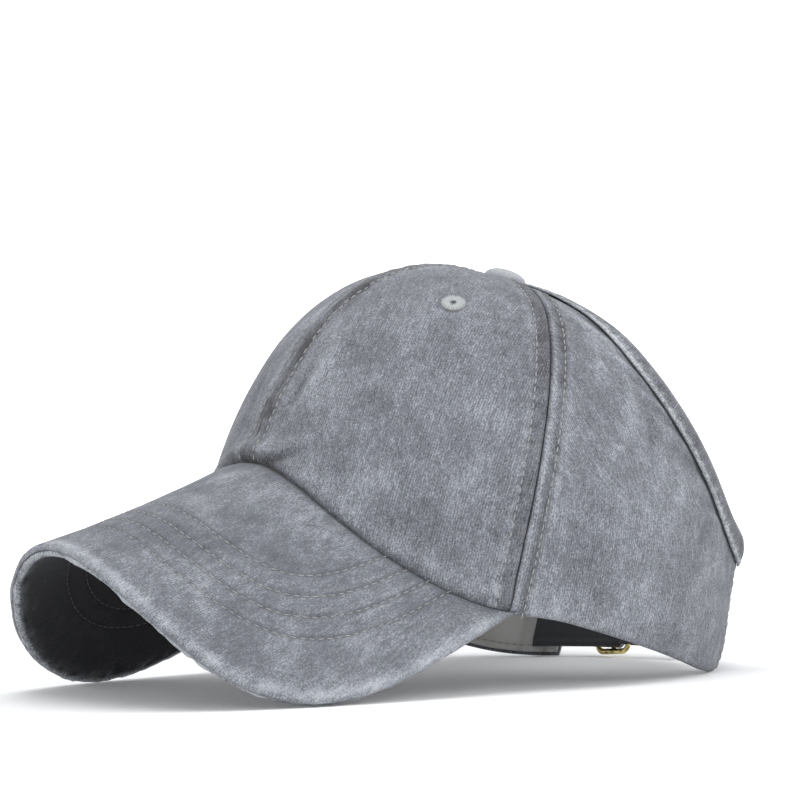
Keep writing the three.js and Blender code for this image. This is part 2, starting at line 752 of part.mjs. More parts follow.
// The tab runs under the right bar, rises to the middle bar, wraps it and runs back inside.
function tab() {
  const start = -ARM_END_ARC - STRAP_TUCK;
  const outer = depthOfBar(BAR_MIDDLE) - WRAP;
  const inner = depthOfBar(BAR_MIDDLE) + WRAP;
  const underBar = depthOfBar(BAR_RIGHT) + WRAP + TAB_SLACK / 2;
  const innerTuck = TUCK_DEPTH + STRAP_CLOTH + CLEARANCE;
  const path = [
    [start, TUCK_DEPTH],
    [-ARM_END_ARC - TAB_STRAIGHT, TUCK_DEPTH],
    [-ARM_END_ARC + 2 * TAB_STRAIGHT, TUCK_DEPTH],
    [BAR_RIGHT, underBar],
    [mix(BAR_RIGHT, BAR_MIDDLE, 0.5), mix(underBar, outer, 0.55)],
    ...wrapPath(BAR_MIDDLE, 1),
    [BAR_RIGHT, inner],
    [-ARM_END_ARC + TAB_STRAIGHT, Math.max(innerTuck, inner - TAB_SLACK)],
    [start + TAB_END_STEP, innerTuck + TAB_SLACK],
  ];
  return band(path, TAB_BOTTOM, TAB_WIDTH);
}

// The buckle's wire ring, flat: X runs along the band, Y is its depth and Z is up.
function wireRing(halfWide, halfHigh) {
  const loop = [];
  for (let quarter = 0; quarter < 4; quarter += 1) {
    const signX = quarter === 0 || quarter === 3 ? 1 : -1;
    const signZ = quarter < 2 ? 1 : -1;
    for (let i = 0; i <= BUCKLE_CORNER_STEPS; i += 1) {
      const a = (quarter + i / BUCKLE_CORNER_STEPS) * Math.PI / 2;
      loop.push([
        signX * (halfWide - BUCKLE_CORNER) + BUCKLE_CORNER * Math.cos(a),
        signZ * (halfHigh - BUCKLE_CORNER) + BUCKLE_CORNER * Math.sin(a),
      ]);
    }
  }
  const points = [];
  const triangles = [];
  loop.forEach(([x, z], i) => {
    const before = loop[(i + loop.length - 1) % loop.length];
    const after = loop[(i + 1) % loop.length];
    const run = new THREE.Vector2(after[0] - before[0], after[1] - before[1]).normalize();
    const here = i * WIRE_SIDES;
    const following = ((i + 1) % loop.length) * WIRE_SIDES;
    for (let k = 0; k < WIRE_SIDES; k += 1) {
      const a = k / WIRE_SIDES * Math.PI * 2;
      const out = WIRE_RADIUS * Math.cos(a);
      const beside = (k + 1) % WIRE_SIDES;
      points.push(new THREE.Vector3(x + run.y * out, WIRE_RADIUS * Math.sin(a), z - run.x * out));
      triangles.push([here + k, here + beside, following + beside]);
      triangles.push([here + k, following + beside, following + k]);
    }
  });
  return makeGeometry(points, triangles);
}

// The ring and its middle bar are joined flat and then bent with the band.
function buckle() {
  const halfHigh = BUCKLE_HEIGHT / 2 - WIRE_RADIUS;
  const ring = wireRing((BAR_LEFT - BAR_RIGHT) / 2, halfHigh);
  const barRadius = WIRE_RADIUS * BUCKLE_BAR_SHARE;
  const bar = weld(new THREE.CylinderGeometry(barRadius, barRadius, 2 * halfHigh, WIRE_SIDES, 6));
  bar.rotateX(Math.PI / 2);
  const joined = fromSolid(toSolid(ring).add(toSolid(bar)));
  const flat = joined.getAttribute("position");
  const bent = [];
  for (let i = 0; i < flat.count; i += 1) {
    const arc = (BAR_LEFT + BAR_RIGHT) / 2 + flat.getX(i);
    const height = BUCKLE_BOTTOM + BUCKLE_HEIGHT / 2 + flat.getZ(i);
    bent.push(bandPoint(arc, height, depthOfBar(arc) + flat.getY(i)));
  }
  const corners = joined.getIndex().array;
  const triangles = [];
  for (let i = 0; i < corners.length; i += 3) {
    triangles.push([corners[i], corners[i + 1], corners[i + 2]]);
  }
  return makeGeometry(bent, triangles);
}

const MATERIALS = {
  cloth: { color: 0x70737a, roughness: 0.92, metalness: 0 },
  binding: { color: 0x7d8087, roughness: 0.92, metalness: 0 },
  pale: { color: 0xa4a8ab, roughness: 0.9, metalness: 0 },
  under: { color: 0x2a2b30, roughness: 0.95, metalness: 0 },
  facing: { color: 0xb4b3ae, roughness: 0.9, metalness: 0 },
  brass: { color: 0xb5a256, roughness: 0.35, metalness: 1 },
};

const PIECES = [
  ["front_panel_left", frontPanel(1), "cloth"],
  ["front_panel_right", frontPanel(-1), "cloth"],
  ["side_panel_left", sidePanel(1), "cloth"],
  ["side_panel_right", sidePanel(-1), "cloth"],
  ["opening_binding_left", binding(1), "binding"],
  ["opening_binding_right", binding(-1), "binding"],
  ["button", button(), "pale"],
  ["eyelet_left", eyelet(1), "pale"],
  ["eyelet_right", eyelet(-1), "pale"],
  ["peak_upper_cover", peakCover(0), "cloth"],
  ["peak_under_cover", peakCover(PEAK_COVER + CLEARANCE), "under"],
  ["arm_facing_left", facing(1), "facing"],
  ["arm_facing_right", facing(-1), "facing"],
  ["strap", strap(), "cloth"],
  ["buckle_tab", tab(), "cloth"],
  ["buckle", buckle(), "brass"],
];

const cap = new THREE.Group();
cap.name = "ponytail_cap";
const whole = new THREE.Box3();
for (const [name, geometry, finish] of PIECES) {
  const mesh = new THREE.Mesh(geometry, new THREE.MeshStandardMaterial(MATERIALS[finish]));
  mesh.name = name;
  geometry.computeBoundingBox();
  whole.union(geometry.boundingBox);
  cap.add(mesh);
}

// The origin is the middle of the cap's outline, on the floor.
const centreX = (whole.min.x + whole.max.x) / 2;
const centreY = (whole.min.y + whole.max.y) / 2;
for (const mesh of cap.children) {
  mesh.geometry.translate(-centreX, -centreY, -whole.min.z);
}

export default cap;
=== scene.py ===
# %% [markdown]
# # A washed cotton cap with a ponytail opening
# The cap is sewn from four crown panels, a stiff arched peak in two covers, tapes, a strap and a wire
# buckle. The frame that is loaded first holds every piece as a plain solid at its real size and place.
# This lesson dresses those solids in cloth, thread and brass, one piece at a time.

# %% Load the frame
import math

import bpy
import numpy as np
from mathutils import Matrix, Vector


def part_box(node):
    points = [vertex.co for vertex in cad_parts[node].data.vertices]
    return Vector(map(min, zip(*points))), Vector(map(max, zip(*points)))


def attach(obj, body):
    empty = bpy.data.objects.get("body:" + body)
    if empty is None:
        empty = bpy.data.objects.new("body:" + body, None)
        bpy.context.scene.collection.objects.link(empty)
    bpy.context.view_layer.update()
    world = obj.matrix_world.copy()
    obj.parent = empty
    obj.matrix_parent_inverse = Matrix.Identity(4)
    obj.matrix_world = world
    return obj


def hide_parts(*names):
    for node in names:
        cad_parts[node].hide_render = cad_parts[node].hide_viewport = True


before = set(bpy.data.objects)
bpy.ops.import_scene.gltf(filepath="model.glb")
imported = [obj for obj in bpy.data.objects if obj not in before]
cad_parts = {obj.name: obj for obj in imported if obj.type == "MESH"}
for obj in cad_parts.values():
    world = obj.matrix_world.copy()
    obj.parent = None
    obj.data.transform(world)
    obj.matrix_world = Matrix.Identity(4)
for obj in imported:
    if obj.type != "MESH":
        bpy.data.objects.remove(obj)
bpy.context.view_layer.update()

print("nodes in the frame:", len(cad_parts))

# %% [markdown]
# ## The shape that every cloth piece follows
# A cap's crown is a dome that was sewn flat piece by piece, so all of its pieces lie on one surface. That
# surface could be sculpted, but a rule is easier to keep: two angles, turn round the head and rise over
# the rim, give a point. The dome is fuller than a ball, it is pitched so that the front is higher, and
# its soft top sinks a little behind the button.
# Sizes here are in millimetres, and a mesh is turned into metres when it is made.

# %% The crown's sizes and its surface
MM = 0.001
CROWN_FRONT_REACH = 95
CROWN_BACK_REACH = 87
CROWN_HALF_WIDTH = 81
CROWN_HEIGHT = 112
CROWN_FRONT_FULLNESS = 2.72
CROWN_BACK_FULLNESS = 2.36
CROWN_TOP_FORWARD = 15
CROWN_PITCH = math.radians(17.4)
CROWN_SINK = 8
SAG_DEPTH = 2.8
SAG_START = -45
SAG_LENGTH = 60
SAG_HALF_WIDTH = 28
SAG_FADE = 26
SAG_FLOOR = 60
SAG_RISE = 30
CLOTH = 1.6
CLEARANCE = 0.3
HANDS = {1: "left", -1: "right"}


def mix(a, b, share):
    return a + (b - a) * share


def ease(value):
    value = np.clip(value, 0, 1)
    return value * value * (3 - 2 * value)


def fullness(turn):
    """How square the dome is at a turn; 2 is an ellipse."""
    return mix(CROWN_BACK_FULLNESS, CROWN_FRONT_FULLNESS, (1 + np.cos(np.radians(turn))) / 2)


def plan_radius(turn):
    """The crown's reach at the rim, seen from above."""
    c, s = np.cos(np.radians(turn)), np.sin(np.radians(turn))
    reach = np.where(c > 0, CROWN_FRONT_REACH, CROWN_BACK_REACH)
    return 1 / np.hypot(s / CROWN_HALF_WIDTH, c / reach)


def sag(x, y, z):
    """Behind the button the soft top sinks a little."""
    along = ease((y - SAG_START) / SAG_LENGTH)
    aside = ease((SAG_HALF_WIDTH + SAG_FADE - np.abs(x)) / SAG_FADE)
    return SAG_DEPTH * along * aside * ease((z - SAG_FLOOR) / SAG_RISE)


def settle(x, y, z):
    """Pitches the crown and sinks it, so that it lies on its back arms."""
    c, s = math.cos(CROWN_PITCH), math.sin(CROWN_PITCH)
    z = z - sag(x, y, z)
    back = y - CROWN_BACK_REACH
    return np.stack([x, c * back + s * z + CROWN_BACK_REACH * c, c * z - s * back - CROWN_SINK], axis=-1)


def dome_point(turn, rise):
    """A point of the dome's face. Rise is 0 at the rim and 90 under the button."""
    turn, rise = np.broadcast_arrays(np.asarray(turn, float), np.asarray(rise, float))
    n = fullness(turn)
    c, s = np.maximum(np.cos(np.radians(rise)), 1e-6), np.sin(np.radians(rise))
    k = (c ** n + np.maximum(s, 0) ** n) ** (-1 / n)
    out = k * c
    r = out * plan_radius(turn)
    y = -CROWN_TOP_FORWARD * (1 - out) - r * np.cos(np.radians(turn))
    return settle(r * np.sin(np.radians(turn)), y, CROWN_HEIGHT * k * s)


def unit(vectors):
    return vectors / np.maximum(np.linalg.norm(vectors, axis=-1, keepdims=True), 1e-9)


def dome_normal(turn, rise, step=0.4):
    across = dome_point(turn + step, rise) - dome_point(turn - step, rise)
    along = dome_point(turn, rise + step) - dome_point(turn, rise - step)
    return unit(np.cross(across, along))


def crown_point(turn, rise, depth=0.0):
    return dome_point(turn, rise) - dome_normal(turn, rise) * np.asarray(depth)[..., None]


print("top of the bare dome, mm:", dome_point(0, 90).round(1))

# %% [markdown]
# ## The edges of the panels
# Three lines bound the panels: the lower edge, which rises in a bow over the peak and lies on the floor
# at the back, the side seam, and the edge of the ponytail opening. The opening's edge is a smooth curve
# through a few pairs of turn and rise, as a pattern cutter would mark it on the dome.

# %% The lower edge, the opening's edge and the seams
SIDE_SEAM_TURN = 66.5
ARM_END_TURN = 147
TOP_HOLE_RADIUS = 3.2
SEAM_GAP = 0.4
FRONT_BOW_HEIGHT = 27
FRONT_BOW_TURN = 55
FRONT_TUCK = 6
CORNER_DIP = 3.4
CORNER_TURN = 57
CORNER_SPREAD = 26
ARM_TOP_RISE = 23
OPENING_EDGE = [
    {"turn": 0.6, "rise": 0.94},
    {"turn": 0.505, "rise": 0.82},
    {"turn": 0.45, "rise": 0.685},
    {"turn": 0.437, "rise": 0.55},
    {"turn": 0.478, "rise": 0.43},
    {"turn": 0.557, "rise": 0.33},
    {"turn": 0.641, "rise": 0.245},
    {"turn": 0.73, "rise": 0.165},
    {"turn": 0.828, "rise": 0.087},
    {"turn": 0.91, "rise": 0.033},
    {"turn": 1, "rise": 0},
]


def soft_max(a, b, width):
    """The larger of two values, with a rounded change from one to the other."""
    gap = np.clip(0.5 + (a - b) / (2 * width), 0, 1)
    return mix(b, a, gap) + width * gap * (1 - gap)


def rise_at_height(turn, height):
    """The rise at which the dome is this high, before it is pitched."""
    n = fullness(turn)
    up = np.minimum(height / CROWN_HEIGHT, 0.999)
    out = (1 - np.maximum(up, 0) ** n) ** (1 / n)
    return np.degrees(np.arctan2(up, out))


def lower_rise(turn):
    """The lower edge: a bow in front, a dip at the peak's corner, and the floor behind."""
    turn = np.asarray(turn, float)
    angle = np.minimum(np.abs(turn) / FRONT_BOW_TURN, 1) * math.pi / 2
    bow = FRONT_BOW_HEIGHT * np.cos(angle) ** 2 - FRONT_TUCK
    y = -plan_radius(turn) * np.cos(np.radians(turn))
    floor = CROWN_SINK / math.cos(CROWN_PITCH) - math.tan(CROWN_PITCH) * (CROWN_BACK_REACH - y)
    aside = np.clip((np.abs(turn) - CORNER_TURN) / CORNER_SPREAD, -1, 1) * math.pi / 2
    dip = -CORNER_DIP * np.cos(aside) ** 2
    return rise_at_height(turn, soft_max(soft_max(bow, dip, 3), floor, 3))


def top_rise(turn):
    return 90 - np.degrees(TOP_HOLE_RADIUS / plan_radius(turn))


def smooth_through(points, count):
    """A centripetal curve through points, sampled count times."""
    points = np.asarray(points, float)
    padded = np.vstack([2 * points[0] - points[1], points, 2 * points[-1] - points[-2]])
    result = []
    for place in np.linspace(0, len(points) - 1, count):
        i = min(int(place), len(points) - 2)
        t = place - i
        p0, p1, p2, p3 = padded[i:i + 4]
        d0, d1, d2 = (max(np.linalg.norm(b - a), 1e-6) ** 0.5 for a, b in ((p0, p1), (p1, p2), (p2, p3)))
        m1 = ((p1 - p0) / d0 - (p2 - p0) / (d0 + d1) + (p2 - p1) / d1) * d1
        m2 = ((p2 - p1) / d1 - (p3 - p1) / (d1 + d2) + (p3 - p2) / d2) * d1
        square, cube = t * t, t ** 3
        result.append((2 * cube - 3 * square + 1) * p1 + (cube - 2 * square + t) * m1
                      + (3 * square - 2 * cube) * p2 + (cube - square) * m2)
    return np.array(result)


EDGE_STEPS = 401
EDGE = smooth_through([
    (mix(SIDE_SEAM_TURN, ARM_END_TURN, row["turn"]), mix(ARM_TOP_RISE, 90, row["rise"]))
    for row in OPENING_EDGE
], EDGE_STEPS)


def edge_turn_at_rise(rise):
    return np.interp(rise, EDGE[::-1, 1], EDGE[::-1, 0])


print("lower edge, degrees of rise at the front and the side:", lower_rise([0, 57]).round(1))

# %% [markdown]
# ## Fitting the rule to the frame
# The frame puts its origin in the middle of the cap's outline, and the rule above starts from the crown.
# The two differ by one shift, which is measured here on a side panel, so that nothing is placed by eye.

# %% Measure the shift from the crown's rule to the frame
ARM_SHARE = 0.2


def side_angles(across, up):
    """Turn and rise over a side panel: the arm below, then the part beside the opening."""
    over = np.clip((up - ARM_SHARE) / (1 - ARM_SHARE), 0, 1)
    climb = mix(over ** 2, over, 0.35)
    rise = mix(ARM_TOP_RISE, top_rise(SIDE_SEAM_TURN), climb)
    limit = edge_turn_at_rise(rise)
    turn = mix(SIDE_SEAM_TURN, limit, across)
    low = mix(lower_rise(turn), ARM_TOP_RISE, np.clip(up / ARM_SHARE, 0, 1))
    return turn, np.where(up < ARM_SHARE, low, rise)


steps = np.linspace(0, 1, 61)
sample = crown_point(*side_angles(steps[:, None], steps[None, :]), 0.0).reshape(-1, 3)
low_corner, high_corner = (np.array(corner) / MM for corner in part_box("side_panel_left"))
SHIFT = np.array([
    0,
    ((low_corner + high_corner) / 2 - (sample.min(0) + sample.max(0)) / 2)[1],
    high_corner[2] - sample[:, 2].max(),
])
print("shift to the frame, mm:", SHIFT.round(2))

# %% [markdown]
# ## The camera
# The cap is seen from the wearer's left front, just above the surface that it lies on, through a long
# lens that hardly changes sizes with distance. The camera stands on a line through the crown, and then
# turns a little so that the cap sits in the frame as it does in the photograph.

# %% Camera
VIEW_TURN = 57.9
VIEW_RISE = 2.5
VIEW_DISTANCE = 2.0
VIEW_ROLL = -0.025
LENS = 274.7
LOOKED_AT = Vector((0, -0.001, 0.070))
AIM_RIGHT = 0.0101
AIM_UP = 0.0225


def put_in_scene(name, data):
    """A new object in the scene, made of a mesh, a light or a camera."""
    made = bpy.data.objects.new(name, data)
    bpy.context.scene.collection.objects.link(made)
    return made


def view_axes(turn, rise, roll):
    turn, rise = math.radians(turn), math.radians(rise)
    back = Vector((math.sin(turn) * math.cos(rise), -math.cos(turn) * math.cos(rise), math.sin(rise)))
    right = Vector((math.cos(turn), math.sin(turn), 0))
    up = back.cross(right)
    rolled_right = right * math.cos(roll) + up * math.sin(roll)
    return rolled_right, up * math.cos(roll) - right * math.sin(roll), back


right, up, back = view_axes(VIEW_TURN, VIEW_RISE, VIEW_ROLL)
place = LOOKED_AT + back * VIEW_DISTANCE
look_back = (place - (LOOKED_AT + right * AIM_RIGHT + up * AIM_UP)).normalized()
look_right = up.cross(look_back).normalized()
look_up = look_back.cross(look_right)
camera = put_in_scene("camera", bpy.data.cameras.new("camera"))
camera.matrix_world = Matrix((look_right, look_up, look_back)).transposed().to_4x4()
camera.location = place
camera.data.lens = LENS
camera.data.sensor_width = 36
camera.data.clip_end = 20
bpy.context.scene.camera = camera
print("camera at", [round(v, 3) for v in camera.location])

# %% [markdown]
# ## Light and floor
# Cloth shows its weave best in broad, soft light: one large panel overhead, a weaker one beside the
# camera and one from the back right, in a pale room. The floor curves up far behind the cap, so no
# horizon line shows.

# %% Floor and lights
def lathe(name, profile, sides):
    """A mesh of (radius, height) pairs turned round Z. A radius of 0 becomes one point."""
    vertices, rings = [], []
    for radius, height in profile:
        count = 1 if radius == 0 else sides
        rings.append(range(len(vertices), len(vertices) + count))
        for k in range(count):
            angle = 2 * math.pi * k / sides
            vertices.append((radius * math.cos(angle), radius * math.sin(angle), height))
    faces = []
    for low, high in zip(rings, rings[1:]):
        for k in range(sides):
            places = ((low, k), (low, k + 1), (high, k + 1), (high, k))
            faces.append(list(dict.fromkeys(ring[place % len(ring)] for ring, place in places)))
    mesh = bpy.data.meshes.new(name)
    mesh.from_pydata(vertices, [], faces)
    mesh.polygons.foreach_set("use_smooth", [True] * len(mesh.polygons))
    return mesh


FLOOR_RADIUS = 3.2
COVE_RADIUS = 1.2
WALL_HEIGHT = 3.0
cove = [math.pi / 2 * k / 12 for k in range(13)]
floor_profile = [(0, 0), (0.15, 0), (0.3, 0), (0.6, 0), (1.2, 0)]
floor_profile += [(FLOOR_RADIUS + COVE_RADIUS * math.sin(a), COVE_RADIUS * (1 - math.cos(a))) for a in cove]
floor_profile += [(FLOOR_RADIUS + COVE_RADIUS, WALL_HEIGHT)]
floor = put_in_scene("floor", lathe("floor", floor_profile, 96))

LIGHTS = [
    {"name": "overhead", "at": (0.1, -0.25, 1.7), "size": 1.2, "power": 19.5},
    {"name": "camera_side", "at": (1.7, -0.9, 0.8), "size": 1.2, "power": 6.4},
    {"name": "back_right", "at": (0.9, 1.3, 1.0), "size": 1.1, "power": 9.0},
]
LIT_POINT = Vector((0, 0, 0.06))
ROOM_COLOUR = (0.93, 0.96, 1.0, 1)
ROOM_STRENGTH = 0.31
for row in LIGHTS:
    light = put_in_scene(row["name"], bpy.data.lights.new(row["name"], "AREA"))
    light.data.size = row["size"]
    light.data.energy = row["power"]
    light.location = row["at"]
    light.rotation_euler = (Vector(row["at"]) - LIT_POINT).to_track_quat("Z", "Y").to_euler()

world = bpy.data.worlds.new("studio")
world.use_nodes = True
world.node_tree.nodes["Background"].inputs["Color"].default_value = ROOM_COLOUR
world.node_tree.nodes["Background"].inputs["Strength"].default_value = ROOM_STRENGTH
bpy.context.scene.world = world
bpy.context.scene.view_settings.view_transform = "Standard"
print("lights:", [row["name"] for row in LIGHTS])

# %% [markdown]
# ## Writing a material as arithmetic
# A material is a tree of small nodes. Wiring them one by one is slow to read, so a socket is wrapped here
# in a class that knows + - * /: an expression such as 1 - clouds * 0.3 then adds its own Math nodes.
# Any other node comes from one method that takes its type, its settings and its inputs.

# %% A socket that can be calculated with, and a material to hold it
class Value:
    """One output socket of a material's tree."""

    def __init__(self, finish, socket):
        self.finish = finish
        self.socket = socket

    def math(self, operation, *others):
        inputs = dict(enumerate((self,) + others))
        return self.finish.node("ShaderNodeMath", {"operation": operation}, inputs)

    def __add__(self, other):
        return self.math("ADD", other)

    def __sub__(self, other):
        return self.math("SUBTRACT", other)

    def __mul__(self, other):
        return self.math("MULTIPLY", other)

    def __truediv__(self, other):
        return self.math("DIVIDE", other)

    def __rsub__(self, other):
        return self * -1 + other

    __radd__ = __add__
    __rmul__ = __mul__

    def between(self, low, high):
        """0 at low, 1 at high, and smooth in the middle."""
        settings = {"interpolation_type": "SMOOTHSTEP"}
        inputs = {"Value": self, "From Min": low, "From Max": high}
        return self.finish.node("ShaderNodeMapRange", settings, inputs)


class Finish:
    """A material with its surface shader, and ways to add to its tree."""

    def __init__(self, name, roughness, metallic=0.0):
        self.material = bpy.data.materials.new(name)
        self.material.use_nodes = True
        self.tree = self.material.node_tree
        self.surface = self.tree.nodes["Principled BSDF"]
        self.feed("Roughness", roughness)
        self.feed("Metallic", metallic)

    def socket(self, node, key):
        if isinstance(key, int):
            return node.inputs[key]
        return next(s for s in node.inputs if key in (s.identifier, s.name) and s.enabled)

    def put(self, socket, value):
        if isinstance(value, Value):
            self.tree.links.new(value.socket, socket)
        else:
            socket.default_value = value

    def node(self, kind, settings=None, values=None, result=0):
        made = self.tree.nodes.new(kind)
        for key, value in (settings or {}).items():
            if key == "stops":
                made.color_ramp.elements.remove(made.color_ramp.elements[0])
                for i, (position, colour) in enumerate(value):
                    stop = made.color_ramp.elements[0] if i == 0 else made.color_ramp.elements.new(position)
                    stop.position = position
                    stop.color = (*colour, 1)
            else:
                setattr(made, key, value)
        for key, value in (values or {}).items():
            self.put(self.socket(made, key), value)
        return Value(self, made.outputs[result])

    def feed(self, name, value):
        self.put(self.surface.inputs[name], value)

    def blend(self, low, high, share):
        low, high = ((*c, 1) if isinstance(c, tuple) else c for c in (low, high))
        inputs = {"Factor_Float": share, "A_Color": low, "B_Color": high}
        return self.node("ShaderNodeMix", {"data_type": "RGBA"}, inputs, result=2)

    def stretch(self, coordinates, scale):
        return self.node("ShaderNodeVectorMath", {"operation": "MULTIPLY"}, {0: coordinates, 1: scale})

    def noise(self, coordinates, scale, detail=2.0, roughness=0.5):
        inputs = {"Vector": coordinates, "Scale": scale, "Detail": detail, "Roughness": roughness}
        return self.node("ShaderNodeTexNoise", None, inputs)

    def attribute(self, name):
        return self.node("ShaderNodeAttribute", {"attribute_name": name}, None, result=2)

    def bump(self, height, distance, strength=1.0):
        inputs = {"Height": height, "Distance": distance, "Strength": strength}
        self.feed("Normal", self.node("ShaderNodeBump", None, inputs))


print("a material can be given:", [name for name in vars(Finish) if not name.startswith("_")])

# %% [markdown]
# ## The floor's paper
# The backdrop in the photograph is pure white, while the shadow under the cap is deep. Stronger light
# would wash out the shadow, so the paper glows a little instead, only where it is far from the cap. A
# lit cloth hung behind the object does the same in a studio.

# %% The floor's paper
GLOW_START = 0.16
GLOW_END = 0.75
GLOW_NEAR = (0.02, 0.02, 0.021)
GLOW_FAR = (0.62, 0.62, 0.62)
paper = Finish("pale_paper", 0.9)
paper_place = paper.node("ShaderNodeTexCoord", None, None, result=3)
from_cap = paper.node("ShaderNodeVectorMath", {"operation": "LENGTH"}, {0: paper_place}, result=1)
glow = paper.blend(GLOW_NEAR, GLOW_FAR, from_cap.between(GLOW_START, GLOW_END))
paper.feed("Base Color", (0.86, 0.865, 0.87, 1))
paper.feed("Emission Color", glow)
paper.surface.inputs["Emission Strength"].default_value = 1.0
floor.data.materials.append(paper.material)
print("the paper glows from", GLOW_START, "m outwards, which keeps the backdrop white")

# %% [markdown]
# ## Washed cotton
# The cap was dyed and then washed with stones, which leaves pale clouds, dark bands where seams held the dye,
# and single threads that differ from their neighbours. The cloth map runs along the threads of each
# panel, in metres. Large clouds read the object's own place, so that they pass over the seams. An
# attribute named shade, which each mesh carries, says where the cloth is worn pale or stayed dark. It
# also holds painted shade along the join, beside the binding, in the peak's stitch rows and inside,
# and partly painted highlights on worn rims. Along creases, puckers and gathers it is paler where the
# cloth rises and darker where it sinks. The peak's under cover is painted nearly black as shade, so its
# threads show only along its worn rim.

# %% Washed cotton
CLOUDS_PER_METRE = 42
MOTTLES_PER_METRE = 230
FLECKS_PER_METRE = 1700
STREAKS_PER_METRE = 1300
RIB_PITCH = 0.00085
DYE_AND_SHADE_TINT = (1.0, 0.99, 0.945, 1)


def washed_cotton(name, deep, middle, pale, clouds=1.0, grain=1.0, rim_only=False):
    cloth = Finish(name, 0.92)
    place = cloth.node("ShaderNodeTexCoord", None, None, result=3)
    threads = cloth.node("ShaderNodeUVMap", {"uv_map": "cloth"})
    wear_and_shade = cloth.attribute("shade")
    broad = cloth.noise(place, CLOUDS_PER_METRE, 4, 0.62)
    small = cloth.noise(cloth.stretch(threads, (1, 0.5, 1)), MOTTLES_PER_METRE, 3, 0.6)
    fleck = cloth.noise(place, FLECKS_PER_METRE, 1, 0.5)
    streak = cloth.noise(cloth.stretch(threads, (1, 0.22, 1)), STREAKS_PER_METRE, 2, 0.6)
    rib_inputs = {"Vector": threads, "Scale": math.tau / 20 / RIB_PITCH, "Distortion": 1.2, "Detail": 1.0}
    ribs = cloth.node("ShaderNodeTexWave", {"bands_direction": "X"}, rib_inputs)
    tone = ((broad - 0.5) * 0.80 + (small - 0.5) * 0.46) * clouds
    weave = ((fleck - 0.5) * 1.0 + (streak - 0.5) * 0.62 + (ribs - 0.5) * 0.15) * grain
    if rim_only:
        weave = weave * (wear_and_shade.between(0.05, 0.7) * 1.1 + 0.06)
    level = tone + weave + 0.5 + wear_and_shade * 0.5
    stops = [(0.0, deep), (0.5, middle), (1.0, pale)]
    colour = cloth.node("ShaderNodeValToRGB", {"stops": stops}, {0: level})
    # The dark end of shade is tinted warmer, for dye and painted shade alike.
    dye_and_shade_tinted = cloth.node("ShaderNodeMix", {"data_type": "RGBA", "blend_type": "MULTIPLY"},
                        {"Factor_Float": 1.0, "A_Color": colour, "B_Color": DYE_AND_SHADE_TINT}, result=2)
    cloth.feed("Base Color", cloth.blend(colour, dye_and_shade_tinted, wear_and_shade.between(-0.15, -0.7)))
    cloth.surface.inputs["Sheen Weight"].default_value = 0.08
    cloth.surface.inputs["Sheen Roughness"].default_value = 0.6
    cloth.surface.inputs["Specular IOR Level"].default_value = 0.15
    cloth.bump(fleck * 0.5 + streak * 0.3 + ribs * 0.2 + small * 0.5, 0.00022, 0.7)
    return cloth.material


COTTON = washed_cotton("washed_cotton", (0.044, 0.046, 0.053), (0.146, 0.153, 0.173), (0.35, 0.368, 0.40))
PEAK_COTTON = washed_cotton("washed_peak_cotton", (0.044, 0.046, 0.053), (0.136, 0.143, 0.162),
                            (0.42, 0.44, 0.475), 0.9, 0.62)
TAPE = washed_cotton("washed_tape", (0.044, 0.046, 0.053), (0.150, 0.157, 0.175), (0.44, 0.46, 0.49))
WORN = washed_cotton("worn_cover", (0.16, 0.167, 0.18), (0.31, 0.32, 0.34), (0.50, 0.52, 0.545), 0.5, 0.5)
# Painted shade: the peak's under cover is made nearly black, as the shade under the peak; its rim stays pale.
SHADED_UNDER = washed_cotton("dark_under_cotton", (0.0025, 0.0025, 0.0035), (0.0065, 0.0065, 0.0095),
                      (0.36, 0.38, 0.41), 0.06, 1.0, rim_only=True)
FACING = washed_cotton("pale_facing", (0.33, 0.325, 0.31), (0.47, 0.465, 0.45), (0.62, 0.615, 0.60), 0.4, 0.3)
print("cotton materials:", [m.name for m in (COTTON, PEAK_COTTON, TAPE, WORN, SHADED_UNDER, FACING)])

# %% [markdown]
# ## Thread and brass
# Sewing thread is two or three fine strands twisted together and a little shiny. The buckle is plated
# wire: bright yellow where it was rubbed, and brown in the corners that nothing reaches.

# %% Thread and brass
FIBRES_PER_METRE = 1500
TARNISH_PER_METRE = 420
SCRATCHES_PER_METRE = 1800


def sewing_thread(name, colour):
    thread = Finish(name, 0.7)
    place = thread.node("ShaderNodeTexCoord", None, None, result=3)
    fibre = thread.noise(place, FIBRES_PER_METRE, 2)
    shaded, lit = (tuple(c * share for c in colour) for share in (0.72, 1.25))
    thread.feed("Base Color", thread.blend(shaded, lit, fibre))
    thread.bump(fibre, 0.0001, 0.5)
    return thread.material


def aged_brass():
    brass = Finish("aged_brass", 0.3, 1.0)
    place = brass.node("ShaderNodeTexCoord", None, None, result=3)
    tarnish = brass.noise(place, TARNISH_PER_METRE, 4, 0.65).between(0.42, 0.68)
    brass.feed("Base Color", brass.blend((0.80, 0.66, 0.28), (0.33, 0.25, 0.09), tarnish))
    brass.feed("Roughness", tarnish * 0.3 + 0.22)
    brass.bump(brass.noise(place, SCRATCHES_PER_METRE, 2), 0.00005, 0.5)
    return brass.material


THREAD_GREY = sewing_thread("grey_thread", (0.29, 0.29, 0.277))
# Painted shade: a dark copy of the grey thread, for the stitches under the peak.
THREAD_SHADED = sewing_thread("dim_thread", (0.075, 0.075, 0.078))
THREAD_PALE = sewing_thread("pale_thread", (0.36, 0.375, 0.38))
BRASS = aged_brass()
print("thread and brass:", [m.name for m in (THREAD_GREY, THREAD_SHADED, THREAD_PALE, BRASS)])

